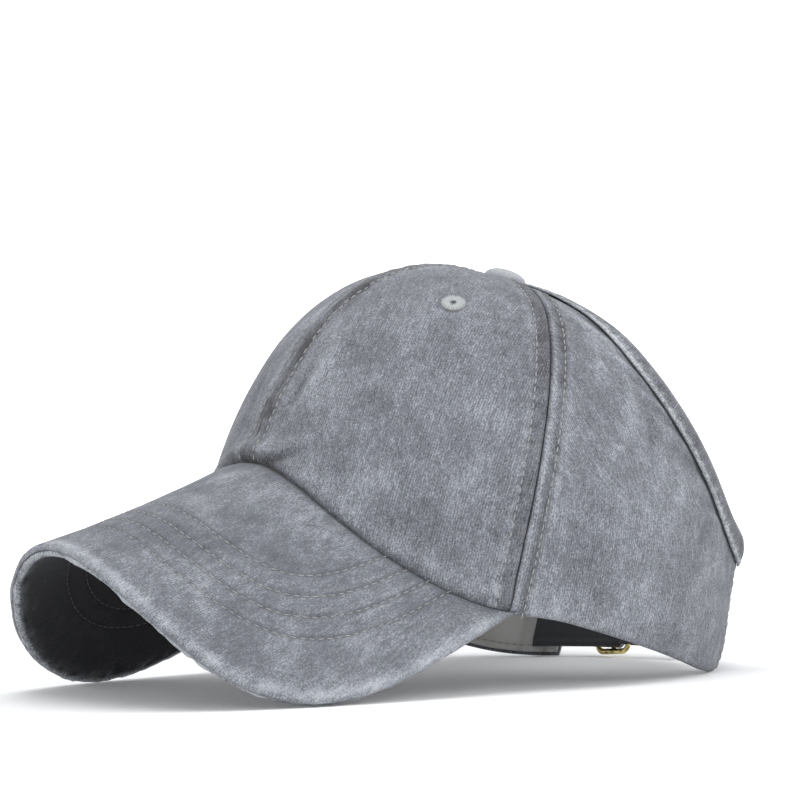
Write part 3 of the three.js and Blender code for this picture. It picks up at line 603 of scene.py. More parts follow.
# %% [markdown]
# ## From a grid of points to a piece of cloth
# Each cloth piece is two grids, its outer and its inner face, joined round the edge. A grid is easy to
# shape with numbers, it keeps its quads tidy, and its rows measure the distances that the cloth map and
# the seams need. Subdividing a rough box would give the same outline but no such rows.

# %% Grid helpers
# No point lies lower than FLOOR_SKIN. The map of an inner face is moved by THROUGH, and each piece's map
# starts CHART_STEP further on, so that no two faces show the same spots.
FLOOR_SKIN = 0.0001
THROUGH = (0.0017, 0.0021)
CHART_STEP = 200


def to_frame(points):
    """From the rule's millimetres to the frame's metres."""
    return (points + SHIFT) * MM


def length_along(points, axis):
    """Distance from the first row, along one axis of a grid."""
    gaps = np.linalg.norm(np.diff(points, axis=axis), axis=-1)
    start = np.zeros_like(np.take(gaps, [0], axis=axis))
    return np.concatenate([start, np.cumsum(gaps, axis=axis)], axis=axis)


def grid_normals(points, like):
    """Normals of a grid, on the side that like points to."""
    normals = unit(np.cross(np.gradient(points, axis=0), np.gradient(points, axis=1)))
    return normals * np.sign(np.sum(normals * like, axis=-1, keepdims=True) + 1e-9)


def bunched(count, share=0.6):
    """Steps from 0 to 1 that are closer together near both ends."""
    even = np.linspace(0, 1, count)
    return mix(even, (1 - np.cos(np.pi * even)) / 2, share)


def link(name, mesh, material, node):
    """Puts a finished mesh in the scene in the place of a node of the frame."""
    mesh.polygons.foreach_set("use_smooth", [True] * len(mesh.polygons))
    mesh.materials.append(material)
    made = put_in_scene(name, mesh)
    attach(made, "root")
    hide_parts(node)


def outward(vertices, faces):
    """Turns all faces of a closed body over if they point inwards."""
    corners = vertices[faces[:, :3]]
    volume = np.einsum("ij,ij->i", corners[:, 0], np.cross(corners[:, 1], corners[:, 2])).sum()
    rest = vertices[faces[:, [0, 2, 3]]]
    volume += np.einsum("ij,ij->i", rest[:, 0], np.cross(rest[:, 1], rest[:, 2])).sum()
    return faces if volume > 0 else faces[:, ::-1]


def carry(mesh, chart, shade):
    """Gives a mesh its cloth map and its shade, which are both listed by vertex."""
    corners = np.empty(len(mesh.loops), dtype=np.int32)
    mesh.loops.foreach_get("vertex_index", corners)
    layer = mesh.uv_layers.new(name="cloth")
    layer.data.foreach_set("uv", chart[corners].ravel().astype(np.float32))
    mesh.attributes.new("shade", "FLOAT", "POINT").data.foreach_set("value", shade.astype(np.float32))


def cloth_mesh(name, outer, inner, shade, offset=0.0, back_shade=0.0):
    """A closed sheet between two grids, with its cloth map and its shade attribute."""
    count_u, count_v = outer.shape[:2]
    index = np.arange(2 * count_u * count_v).reshape(2, count_u, count_v)
    faces = []

    def quads(a, b, c, d):
        faces.append(np.stack([a.ravel(), b.ravel(), c.ravel(), d.ravel()], axis=1))

    o, n = index
    quads(o[:-1, :-1], o[1:, :-1], o[1:, 1:], o[:-1, 1:])
    quads(n[:-1, :-1], n[:-1, 1:], n[1:, 1:], n[1:, :-1])
    quads(o[:-1, 0], n[:-1, 0], n[1:, 0], o[1:, 0])
    quads(o[:-1, -1], o[1:, -1], n[1:, -1], n[:-1, -1])
    quads(o[0, :-1], o[0, 1:], n[0, 1:], n[0, :-1])
    quads(o[-1, :-1], n[-1, :-1], n[-1, 1:], o[-1, 1:])
    vertices = to_frame(np.concatenate([outer.reshape(-1, 3), inner.reshape(-1, 3)]))
    vertices[:, 2] = np.maximum(vertices[:, 2], FLOOR_SKIN)
    faces = outward(vertices, np.concatenate(faces))
    mesh = bpy.data.meshes.new(name)
    mesh.from_pydata(vertices.tolist(), [], faces.tolist())
    across = length_along(outer, 0)
    across -= across[count_u // 2:count_u // 2 + 1]
    along = length_along(outer, 1)
    chart = np.stack([across + offset, along + offset], axis=-1).reshape(-1, 2) * MM
    chart = np.concatenate([chart, chart + THROUGH])
    # The inner face gets back_shade on top, which paints shade inside the cap.
    carry(mesh, chart, np.concatenate([shade.ravel(), (shade + back_shade).ravel()]))
    return mesh


class Lattice:
    """Smooth noise from random numbers on a lattice, the same on every run."""

    def __init__(self, seed, size=24):
        self.size = size
        self.values = np.random.RandomState(seed).uniform(-1, 1, (size, size, size))

    def at(self, points, cell):
        """Noise from -1 to 1. cell is the size of one bump, for each axis or for all."""
        scaled = np.asarray(points, float) / np.asarray(cell, float)
        base = np.floor(scaled).astype(int)
        t = scaled - base
        t = t * t * (3 - 2 * t)
        total = 0
        for dx in (0, 1):
            for dy in (0, 1):
                for dz in (0, 1):
                    corner = self.values[tuple(((base + (dx, dy, dz)) % self.size)[..., k] for k in range(3))]
                    weight = (np.where(dx, t[..., 0], 1 - t[..., 0]) * np.where(dy, t[..., 1], 1 - t[..., 1])
                              * np.where(dz, t[..., 2], 1 - t[..., 2]))
                    total = total + corner * weight
        return total


NOISE = Lattice(7)
print("noise at the origin and one cell away:", NOISE.at([[0, 0, 0], [9, 0, 0]], 9).round(3))

# %% [markdown]
# ## What a seam does to cloth
# Where two panels meet, their edges are folded under and pressed to both sides, so a low ridge runs on
# each side of a sharp groove. A row of stitches holds each ridge down, and every few stitches draw the
# cloth together in a pucker. The same rule serves every seam here, with its own sizes.

# %% Seam relief and seam shade
def bell(value, width):
    return np.exp(-(value / width) ** 2)


def waves(along, pitch, seed):
    """Uneven waves along a seam, from -1 to 1."""
    spots = np.stack([along, np.full_like(along, seed * 11.3), np.zeros_like(along)], axis=-1)
    drift = NOISE.at(spots, (pitch * 2.2, 1, 1))
    size = 0.65 + 0.35 * NOISE.at(spots + 50, (pitch * 3.1, 1, 1))
    return np.sin(2 * np.pi * (along / pitch + 0.55 * drift)) * size


def seam_relief(away, along, stitch, height, pucker, seed, groove=0.45):
    ridge = height * ease((stitch + 1.8 - away) / 2.4)
    groove = -groove * bell(away, 0.45)
    ditch = -0.32 * bell(away - stitch, 0.55)
    pulled = pucker * bell(away - stitch, 3.4) * waves(along, 5.4, seed)
    return ridge + groove + ditch + pulled


def patches(along, away, seed):
    """Uneven strength of a seam's dyed and worn marks along it, about 0.4 to 1."""
    spots = np.stack([along, away * 0.5, np.full_like(along, seed * 7.7)], axis=-1)
    return 0.7 + 0.38 * NOISE.at(spots, (9, 5, 1)) + 0.22 * NOISE.at(spots + 30, (3.1, 2.2, 1))


def seam_shade(away, along, stitch, seed, band, outside):
    """A dark pressed band up to the stitches, a paler line outside them, and a black groove."""
    dark = -band * ease((stitch + 0.5 - away) / 0.9) * patches(along, away, seed)
    pale = outside * bell(away - stitch - 1.7, 1.3) * patches(along, away, seed + 40)
    pulled = 0.2 * bell(away - stitch, 2.6) * waves(along, 5.4, seed)
    return dark + pale + pulled - 0.5 * bell(away, 0.3)


def slanting_ticks(away, along):
    """Fine folds that cross a worn ridge at a slant, from -1 to 1."""
    drift = NOISE.at(np.stack([along, away, np.zeros_like(along)], axis=-1), (4.5, 3, 1))
    return np.sin(2 * np.pi * ((along + 0.9 * away) / 1.75 + 0.6 * drift)) * (0.7 + 0.3 * drift)


def ridge_shade(away, along, stitch, seed):
    """The far side of a seam: a worn ridge with slanting ticks, then a dark band with the stitches."""
    worn = bell(away - 1.3, 0.95) * (0.30 + 0.34 * slanting_ticks(away, along))
    dark = -0.78 * bell(away - stitch + 0.4, 1.45) * patches(along, away, seed)
    return worn + dark + 0.15 * bell(away - stitch - 2.2, 1.3) - 0.5 * bell(away, 0.3)


def centre_shade(away, along, stitch, seed):
    """The seam over the forehead, where the dye stayed in lengths and in fine lines along the seam."""
    spots = np.stack([along, np.full_like(along, seed * 5.1), np.zeros_like(along)], axis=-1)
    lengths = ease(0.5 + 0.9 * NOISE.at(spots, (21, 1, 1)) + 0.5 * NOISE.at(spots + 9, (8, 1, 1)))
    fine = NOISE.at(np.stack([along / 9, away / 0.9, np.full_like(along, seed)], axis=-1), 1)
    near = ease((stitch + 2.5 - away) / 3.5)
    dark = -(0.18 + 0.80 * lengths) * near * patches(along, away, seed)
    pale = 0.25 * bell(away - stitch - 2.6, 1.6) * (1 - lengths)
    return dark + 0.34 * fine * ease((stitch + 4 - away) / 4) + pale


print("ridge beside a seam, mm:", round(float(seam_relief(np.array(2.5), np.array(0.0), 4.6, 0.5, 0, 1)), 2))

# %% [markdown]
# ## The peak
# The peak is a stiff board between two cloth covers. It bends across in a deep arch and slopes down to
# the front, and its board was cut with a round outline. Two numbers place a point on it: arc, measured
# across, and reach, measured forward from the arch's own centre. A point is then pushed along the
# normal for the thickness, for the rows of stitches that hold the board, and for the rolled edge.

# %% The peak's surface
PEAK_CENTRE_Y = -60
PEAK_CENTRE_Z = 73
PEAK_SLOPE = math.radians(13.5)
PEAK_ARCH_HALF_WIDTH = 85.5
PEAK_ARCH_DEPTH = 108
PEAK_ARCH_SOFTENING = 0.2
PEAK_FLARE_START = -20
PEAK_FLARE_LENGTH = 256
PEAK_HALF_ARC = 104
PEAK_REACH = 99
PEAK_OUTLINE_FULLNESS = 2.74
PEAK_COVER = 2.1
PEAK_CREST_LIFT = 5
PEAK_CREST_HALF_ARC = 62
PEAK_CREST_LENGTH = 72
PEAK_SEAM_REACH = 27
PEAK_CORNER_STEP = 3
PEAK_SIDE_SHARE = 0.72
arch_steps = np.linspace(0, 1.8, 721)
arch_speed = np.hypot(PEAK_ARCH_HALF_WIDTH * np.cos(arch_steps), PEAK_ARCH_DEPTH * np.sin(arch_steps))
arch_run = np.concatenate([[0], np.cumsum((arch_speed[1:] + arch_speed[:-1]) / 2 * np.diff(arch_steps))])


def peak_face(arc, reach):
    """The upper face of the peak, before it is lifted to stand on its lobes."""
    angle = np.sign(arc) * np.interp(np.abs(arc), arch_run, arch_steps)
    bend = 1 - np.cos(angle)
    depth = PEAK_ARCH_DEPTH * (1 + (reach - PEAK_FLARE_START) / PEAK_FLARE_LENGTH)
    down = depth * bend * (1 - PEAK_ARCH_SOFTENING * bend)
    c, s = math.cos(PEAK_SLOPE), math.sin(PEAK_SLOPE)
    ahead = np.clip((reach - PEAK_SEAM_REACH) / PEAK_CREST_LENGTH, 0, 1)
    across = np.minimum(np.abs(arc) / PEAK_CREST_HALF_ARC, 1) * math.pi / 2
    crest = PEAK_CREST_LIFT * (1 - ahead) ** 2 * np.cos(across) ** 2
    x = PEAK_ARCH_HALF_WIDTH * np.sin(angle)
    y = PEAK_CENTRE_Y - c * reach + s * down
    z = PEAK_CENTRE_Z - s * reach - c * down + crest
    return np.stack([x, y, z], axis=-1)


def peak_normal(arc, reach, step=0.5):
    across = peak_face(arc + step, reach) - peak_face(arc - step, reach)
    along = peak_face(arc, reach + step) - peak_face(arc, reach - step)
    normal = unit(np.cross(along, across))
    return normal * np.where(normal[..., 2:] < 0, -1, 1)


def peak_outline(share, corner):
    """Arc and reach of the outline, from the front centre at 0 to the corner at 1."""
    share = np.asarray(share, float)
    power = 2 / PEAK_OUTLINE_FULLNESS
    angle = np.minimum(share / PEAK_SIDE_SHARE, 1) * math.pi / 2
    arc = PEAK_HALF_ARC * np.sin(angle) ** power
    reach = PEAK_REACH * np.maximum(np.cos(angle), 0) ** power
    beside = (share - PEAK_SIDE_SHARE) / (1 - PEAK_SIDE_SHARE)
    on_side = share >= PEAK_SIDE_SHARE
    side_reach = (corner + PEAK_CORNER_STEP) * beside
    return np.where(on_side, PEAK_HALF_ARC, arc), np.where(on_side, side_reach, reach)


lobe_arc, lobe_reach = peak_outline(np.arange(0.3, 0.95, 0.005), -20)
lobe_top, lobe_normal = peak_face(lobe_arc, lobe_reach), peak_normal(lobe_arc, lobe_reach)
lobe_under = lobe_top - lobe_normal * (2 * PEAK_COVER + CLEARANCE)
PEAK_LIFT = -min(lobe_top[:, 2].min(), lobe_under[:, 2].min())


def peak_point(arc, reach, depth):
    """A point of the peak at a depth below its upper face."""
    lifted = peak_face(arc, reach) - peak_normal(arc, reach) * np.asarray(depth)[..., None]
    return lifted + (0, 0, PEAK_LIFT)


def crown_place(point):
    """Turn round the crown, distance outside its wall."""
    c, s = math.cos(CROWN_PITCH), math.sin(CROWN_PITCH)
    py, pz = point[..., 1] - CROWN_BACK_REACH * c, point[..., 2] + CROWN_SINK
    x, y, z = point[..., 0], c * py - s * pz + CROWN_BACK_REACH, s * py + c * pz
    up = np.clip(z / CROWN_HEIGHT, 0, 0.999)
    turn = np.degrees(np.arctan2(x, -y))
    for _ in range(4):
        n = fullness(turn)
        out = (1 - up ** n) ** (1 / n)
        turn = np.degrees(np.arctan2(x, -(y + CROWN_TOP_FORWARD * (1 - out))))
    return turn, np.hypot(x, y + CROWN_TOP_FORWARD * (1 - out)) - out * plan_radius(turn)


def seam_reach(arc, depth):
    """How far forward the crown's wall is, at each arc."""
    arc = np.asarray(arc, float)
    tried = np.arange(70, -61, -2.0)
    outside = np.stack([crown_place(peak_point(arc, np.full_like(arc, r), depth))[1] for r in tried])
    low = tried[np.argmax(outside <= CLEARANCE, axis=0)]
    high = low + 2
    for _ in range(20):
        middle = (low + high) / 2
        clear = crown_place(peak_point(arc, middle, depth))[1] > CLEARANCE
        high, low = np.where(clear, middle, high), np.where(clear, low, middle)
    return (low + high) / 2


print("peak depth at the centre, mm:", round(PEAK_REACH - float(seam_reach(0.0, 0.0)), 1))

# %% [markdown]
# ## The line where the peak meets the crown
# The peak is sewn under the crown's lower edge, and the cloth on both sides of that seam puffs up and
# casts a thin shadow; a painted shadow also runs along the line. Every panel needs its distance from
# the line, so it is measured once here, as points on the peak's surface where it comes out of the
# crown's wall.

# %% The line where the peak meets the crown
join_arcs = np.linspace(-PEAK_HALF_ARC, PEAK_HALF_ARC, 181)
JOIN = peak_point(join_arcs, seam_reach(np.abs(join_arcs), 0.0), 0.0)
JOIN_TURN = crown_place(JOIN)[0]


def above_join(points, turn):
    """Distance over the join, less than 0 behind the peak, and far past the peak's corners."""
    flat = points.reshape(-1, 3)
    parts = np.array_split(flat, 12)
    away = np.concatenate([np.linalg.norm(part[:, None] - JOIN, axis=-1).min(1) for part in parts])
    height = np.interp(turn, JOIN_TURN, JOIN[:, 2], left=-50, right=-50)
    return away.reshape(turn.shape) * np.where(points[..., 2] > height, 1, -1)


print("the join's corners are at turns", JOIN_TURN[[0, -1]].round(1))

# %% [markdown]
# ## The crown panels
# Two front panels meet over the forehead and two side panels reach round to the opening, each ending
# below in an arm that lies on the table. They are built on the dome rule, finely enough for puckers, and
# then moved along their normals by seams, broad soft dents and the drawn creases that the photograph
# shows. The inner face moves with the outer one, so the cloth keeps its thickness.

# %% Front panels
BINDING_WIDTH = 8.5
PANEL_ACROSS = 92
PANEL_UP = 150
CENTRE_STITCH = 4.0
CENTRE_GAP = 0.14
CENTRE_GROOVE = 0.18
SIDE_STITCH = 4.7
SEAM_HEIGHT = 0.5
JOIN_PUFF = 1.1
FOREHEAD_PUFF = 1.5
# The panels' inner faces are painted darker, as the shade inside the crown.
PANEL_INSIDE_PAINTED_SHADE = -0.35
NARROWEST = 6
SEAM_ROOM = 22
CREASES = [
    {"turn": 8, "rise": 15.5, "slant": 12, "long": 9, "wide": 2.2, "deep": -1.5, "tone": -0.75},
    {"turn": 12, "rise": 19.0, "slant": 20, "long": 11, "wide": 2.8, "deep": 0.8, "tone": 0.3},
    {"turn": 7, "rise": 27, "slant": 75, "long": 10, "wide": 2.0, "deep": -0.7, "tone": -0.45},
    {"turn": 12, "rise": 33, "slant": 70, "long": 12, "wide": 2.4, "deep": 0.5, "tone": 0.35},
    {"turn": 5, "rise": 45, "slant": 86, "long": 16, "wide": 2.3, "deep": -0.5, "tone": -0.4},
    {"turn": -9, "rise": 24, "slant": 96, "long": 14, "wide": 2.2, "deep": -0.6, "tone": -0.3},
    {"turn": -7, "rise": 15, "slant": 170, "long": 8, "wide": 2.2, "deep": -1.0, "tone": -0.5},
]


def creases(points, hand_turns, rows):
    """Relief and tone of drawn creases. slant is measured from level, toward the wearer's left."""
    relief = np.zeros(points.shape[:2])
    tone = np.zeros(points.shape[:2])
    for row in rows:
        centre = dome_point(row["turn"], row["rise"])
        normal = dome_normal(row["turn"], row["rise"])
        level = unit(np.cross(np.array([0, 0, 1.0]), normal))
        upward = np.cross(normal, level)
        slant = math.radians(row["slant"])
        offset = points - centre
        east, north = offset @ level, offset @ upward
        along = east * math.cos(slant) + north * math.sin(slant)
        aside = north * math.cos(slant) - east * math.sin(slant) - 0.012 * along ** 2
        near = bell(along, row["long"]) * bell(aside, row["wide"]) * (np.abs(offset @ normal) < 20)
        relief += row["deep"] * near
        tone += row["tone"] * near
    return relief, tone


def broad_dents(points, amount):
    """Soft unevenness of washed cloth: broad dents, and finer folds that run upwards."""
    fine = NOISE.at(points + 40, (11, 11, 26))
    return amount * (NOISE.at(points, 34) + 0.35 * fine), fine


def seam_room(width):
    """Seams flatten out where a panel gets narrow, near the button."""
    return ease((width - NARROWEST) / SEAM_ROOM)


def dress_panel(kind, hand, chart, angles, relief, shade):
    """Makes one crown panel, and returns its outer points and their normals."""
    normal = dome_normal(*angles)
    outer, inner = (crown_point(*angles, depth) + normal * relief[..., None] for depth in (0.0, CLOTH))
    node = kind + "_panel_" + HANDS[hand]
    mesh = cloth_mesh(node, outer, inner, shade, CHART_STEP * (chart + hand), PANEL_INSIDE_PAINTED_SHADE)
    link(kind + "_cloth_" + HANDS[hand], mesh, COTTON, node)
    return {"points": outer, "normals": grid_normals(outer, normal)}


def front_panel(hand):
    across, upward = bunched(PANEL_ACROSS)[:, None], bunched(PANEL_UP, 0.35)[None, :]
    wanted = SIDE_SEAM_TURN * across
    rise = mix(lower_rise(wanted), top_rise(wanted), upward)
    step = np.linalg.norm(dome_point(wanted + 1, rise) - dome_point(wanted, rise), axis=-1)
    slack = np.where(across < 0.5, CENTRE_GAP, SEAM_GAP) / 2 / np.maximum(step, 1e-4)
    turn = hand * mix(slack, SIDE_SEAM_TURN - slack, across)
    skin = crown_point(turn, rise)
    from_centre, up = length_along(skin, 0), length_along(skin, 1)
    from_side = from_centre[-1:] - from_centre
    room = seam_room(from_centre[-1:])
    relief = room * seam_relief(from_centre, up, CENTRE_STITCH, SEAM_HEIGHT, pucker=0.30, seed=hand + 2,
                                groove=CENTRE_GROOVE)
    relief += room * seam_relief(from_side, up, SIDE_STITCH, SEAM_HEIGHT, pucker=0.18, seed=5)
    dents, fine = broad_dents(skin, 0.7)
    drawn, tone = creases(skin, turn, CREASES)
    above = above_join(skin, turn)
    forehead = bell(turn, 11)
    relief += dents * ease(above / 12) + drawn
    relief += (JOIN_PUFF + FOREHEAD_PUFF * forehead) * bell(above - 3.6, 3.4) - 1.0 * bell(above, 0.7)
    relief = np.where(above < 0, np.minimum(relief, -0.8), relief)
    shade = centre_shade(from_centre, up, CENTRE_STITCH, hand + 2)
    shade += seam_shade(from_side, up, SIDE_STITCH, seed=5, band=0.46, outside=0.30)
    # Painted shadow along the join, a painted highlight on the puff above it, and at the forehead painted
    # shade where the puff rolls under.
    shade += tone + 0.10 * fine - 0.7 * bell(above, 0.6) + 0.16 * bell(above - 4.5, 2.2)
    shade -= 0.30 * forehead * bell(above - 2.5, 3.0)
    made = dress_panel("front", hand, 2, (turn, rise), relief, shade)
    return dict(made, from_centre=from_centre, from_side=from_side, above=above)


front = {hand: front_panel(hand) for hand in (1, -1)}
print("front panel, mm across at the rim:", round(float(front[1]["from_centre"][-1, 0]), 1))

# %% [markdown]
# ## The side panels
# A side panel starts at the side seam and reaches back to the opening above and to the strap below. Its
# grid bends with the opening's edge, because a plain grid that is cut off there would leave a ragged
# line. The panel is calm under the binding, and its arm has a hem. The corner where the binding ends
# stands off the arm a little, as sewn corners of several layers do.

# %% Side panels
SIDE_ACROSS = 100
SIDE_UP = 240
CORNER_FLARE = 3.0
HEM_STITCHES = (2.6, 7.2)
SIDE_CREASES = [
    {"turn": 92, "rise": 40, "slant": 68, "long": 26, "wide": 2.6, "deep": 0.45, "tone": 0.32},
    {"turn": 84, "rise": 52, "slant": 72, "long": 24, "wide": 2.4, "deep": 0.40, "tone": 0.28},
    {"turn": 98, "rise": 33, "slant": 74, "long": 18, "wide": 2.2, "deep": -0.5, "tone": -0.28},
    {"turn": 118, "rise": 20, "slant": 35, "long": 12, "wide": 3.0, "deep": -0.7, "tone": -0.25},
    {"turn": 122, "rise": 15, "slant": 30, "long": 15, "wide": 3.0, "deep": 0.6, "tone": 0.25},
    {"turn": 108, "rise": 26, "slant": 60, "long": 11, "wide": 2.6, "deep": 0.6, "tone": 0.3},
    {"turn": 96, "rise": 6, "slant": 40, "long": 15, "wide": 3.2, "deep": 0.5, "tone": 0.2},
]


def flare(points):
    """The corner where the binding ends stands away from the arm a little."""
    corner = dome_point(ARM_END_TURN, ARM_TOP_RISE + 1)
    offset = np.stack([np.abs(points[..., 0]), points[..., 1], points[..., 2]], axis=-1) - corner
    return CORNER_FLARE * bell(np.linalg.norm(offset, axis=-1), 13)


def side_panel(hand):
    across, upward = bunched(SIDE_ACROSS)[:, None], np.linspace(0, 1, SIDE_UP)[None, :]
    turn, rise = side_angles(across, upward)
    step = np.linalg.norm(dome_point(turn + 1, rise) - dome_point(turn, rise), axis=-1)
    turn = hand * (turn + SEAM_GAP / 2 / np.maximum(step, 1e-4) * (1 - across))
    skin = crown_point(turn, rise)
    from_seam, up = length_along(skin, 0), length_along(skin, 1)
    from_edge = from_seam[-1:] - from_seam
    room = seam_room(from_seam[-1:])
    hem = ease((ARM_TOP_RISE + 4 - rise) / 6)
    relief = room * seam_relief(from_seam, up, SIDE_STITCH, SEAM_HEIGHT, pucker=0.18, seed=8)
    relief += hem * (0.4 * ease((9.2 - from_edge) / 1.6) - 0.9 * bell(from_edge, 1.0))
    for stitch in HEM_STITCHES:
        relief -= hem * 0.25 * bell(from_edge - stitch, 0.6)
    relief += hem * 0.2 * bell(from_edge - 5, 4) * waves(up, 6.5, 4)
    relief += (1 - hem) * 0.45 * bell(from_edge - 12, 9) * waves(up, 13, 6)
    dents, fine = broad_dents(skin, 0.8)
    mirrored = [dict(row, turn=hand * row["turn"], slant=hand * row["slant"]) for row in SIDE_CREASES]
    drawn, tone = creases(skin, turn, mirrored)
    above = above_join(skin, turn)
    rim = dome_point(*EDGE[::4].T) * (hand, 1, 1)
    from_opening = np.linalg.norm(skin[:, :, None] - rim, axis=-1).min(-1)
    relief = (relief + dents) * ease(up / 8) * ease((from_opening - BINDING_WIDTH + 2) / 7)
    relief += drawn * ease((from_opening - BINDING_WIDTH) / 4) - 0.8 * bell(up, 1.1) - 1.0 * bell(above, 0.7)
    relief += flare(skin) + room * 0.10 * slanting_ticks(from_seam, up) * bell(from_seam - 1.6, 1.2)
    # Painted shadow along the join, and painted shadow beside the binding of the opening.
    shade = ridge_shade(from_seam, up, SIDE_STITCH, 8) - 0.7 * bell(above, 0.6)
    shade -= 0.85 * bell(from_opening - BINDING_WIDTH - 0.2, 0.65)
    shade += tone + 0.14 * fine + 0.1 * bell(up - 1.5, 1.5)
    shade += (1 - hem) * (0.28 * bell(from_edge - 15, 9) * waves(up, 13, 6) - 0.22 * bell(from_edge - 11, 4))
    shade += hem * (0.35 * bell(from_edge - 1, 1.2) - 0.3 * bell(from_edge - 5, 2.4))
    made = dress_panel("side", hand, 7, (turn, rise), relief, shade)
    return dict(made, rise=rise, from_seam=from_seam, from_edge=from_edge, above=above)


sides = {hand: side_panel(hand) for hand in (1, -1)}
print("side panel, mm from seam to arm end:", round(float(sides[1]["from_seam"][-1, 5]), 1))

# %% [markdown]
# ## The binding of the ponytail opening
# A tape is folded over the raw edge of the opening and stitched through, so that both faces of the
# side panel are covered. It is a U in section, swept along the edge curve. The section is given in
# pairs of distance from the edge and depth below the crown's face, and its back rolls softly.

# %% Binding
BINDING_CLOTH = 1.0
BINDING_START_RISE = 83
BINDING_SLACK = 0.3
BINDING_STITCH = 6.6
BINDING_STEPS = 300
BINDING_SHARES = (0.04, 0.12, 0.24, 0.36, 0.48, 0.6, 0.7, 0.78, 0.84, 0.9, 0.96, 1)


def beside_edge(spot, ahead, behind, inward):
    """Turn and rise at a distance from the opening's edge, over the panel."""
    tangent = unit(dome_point(*ahead.T) - dome_point(*behind.T))
    lateral = unit(np.cross(dome_normal(*spot.T), tangent))
    turn_step = dome_point(spot[:, 0] + 0.5, spot[:, 1]) - dome_point(spot[:, 0] - 0.5, spot[:, 1])
    rise_step = dome_point(spot[:, 0], spot[:, 1] + 0.5) - dome_point(spot[:, 0], spot[:, 1] - 0.5)
    products = ((turn_step, turn_step), (turn_step, rise_step), (rise_step, rise_step))
    a, b, c = ((p * q).sum(-1) for p, q in products)
    p, q = (lateral * turn_step).sum(-1), (lateral * rise_step).sum(-1)
    spread = a * c - b * b
    shares = np.stack([(p * c - q * b) / spread, (q * a - p * b) / spread], axis=-1)
    sign = np.where((shares[:, 0] > 0) | (shares[:, 1] > 0.6), -1, 1)
    return spot + (sign * inward)[:, None] * shares


def binding(hand):
    start = int(np.argmax(EDGE[:, 1] <= BINDING_START_RISE))
    shares = np.linspace(start, len(EDGE) - 1, BINDING_STEPS)
    lookup = np.arange(len(EDGE))

    def edge_at(places):
        return np.stack([np.interp(places, lookup, EDGE[:, k]) for k in (0, 1)], axis=-1)

    spot = edge_at(shares)
    ahead, behind = edge_at(np.minimum(shares + 4, len(EDGE) - 1)), edge_at(np.maximum(shares - 4, 0))
    gap = CLEARANCE + BINDING_SLACK
    middle = CLOTH / 2
    bend = middle + gap
    fold = gap + BINDING_SLACK
    fold_angles = np.linspace(0.1, math.pi - 0.1, 11)
    section = [(BINDING_WIDTH * k, -gap) for k in reversed(BINDING_SHARES)]
    section += [(-fold * math.sin(a), middle - bend * math.cos(a)) for a in fold_angles]
    section += [(BINDING_WIDTH * k, CLOTH + gap) for k in BINDING_SHARES]
    travelled = length_along(dome_point(*spot.T)[:, None], 0)[:, 0]
    skins = {"outer": [], "inner": []}
    shade = []
    for k, (inward, depth) in enumerate(section):
        before, after = section[max(k - 1, 0)], section[min(k + 1, len(section) - 1)]
        run = np.array(after) - np.array(before)
        run = run / np.linalg.norm(run)
        puff = 0.32 * bell(inward - 3.2, 2.4) - 0.35 * bell(inward - BINDING_STITCH, 0.55)
        puff = puff - 0.45 * bell(inward - BINDING_WIDTH, 0.5)
        puff = puff + 0.16 * bell(inward - BINDING_STITCH, 2.5) * waves(travelled, 4.6, 12 + hand)
        for name, thick in (("outer", BINDING_CLOTH + puff), ("inner", 0 * travelled)):
            wanted_in = inward + run[1] * -thick
            wanted_depth = depth + run[0] * thick
            place = beside_edge(spot, ahead, behind, wanted_in)
            point = crown_point(place[:, 0], place[:, 1], wanted_depth)
            point = point + dome_normal(place[:, 0], place[:, 1]) * flare(point)[:, None]
            skins[name].append(point * (hand, 1, 1))
        # The tape's fold and inner edge are paler, partly worn and partly painted highlight; its middle gets
        # painted shade.
        edge_worn_and_lit = 0.25 * bell(inward + 0.6, 1.2) + 0.55 * bell(inward - BINDING_WIDTH + 0.7, 1.1)
        stitched = 0.25 * bell(inward - BINDING_STITCH, 1.6) * waves(travelled, 4.6, 12 + hand)
        shade.append(edge_worn_and_lit + stitched - 0.42 * bell(inward - 3.2, 2.4))
    outer, inner = (np.stack(skins[name], axis=1) for name in ("outer", "inner"))
    chart = CHART_STEP * (11 + hand)
    mesh = cloth_mesh("binding_" + HANDS[hand], outer, inner, np.stack(shade, axis=1), chart)
    link("binding_tape_" + HANDS[hand], mesh, TAPE, "opening_binding_" + HANDS[hand])
    face = crown_point(spot[:, 0], spot[:, 1]) * (hand, 1, 1)
    like = unit(outer - face[:, None] + 1e-6)
    return {"points": outer, "normals": grid_normals(outer, like), "length": travelled[-1],
            "inward": np.broadcast_to([s[0] for s in section], outer.shape[:2])}


bindings = {hand: binding(hand) for hand in (1, -1)}
print("binding, mm long:", round(float(bindings[1]["length"]), 1))

# %% [markdown]
# ## Covering the peak
# The upper cover is rolled over the board's edge, and the under cover is turned in just below it, which
# leaves a fine dark groove between the two and a worn, frayed lip. Rows of stitches hold the board. The
# upper cover's rim is paler, partly worn and partly painted highlight, and a painted shadow runs along
# the join. The under cover is painted nearly black as shade, except along its rim.

# %% Peak covers
PEAK_COLUMNS = 181
PEAK_ROWS = 84
PEAK_STITCH_ROWS = (19.5, 26.5, 33.5, 41.0)
ROLL = 1.7


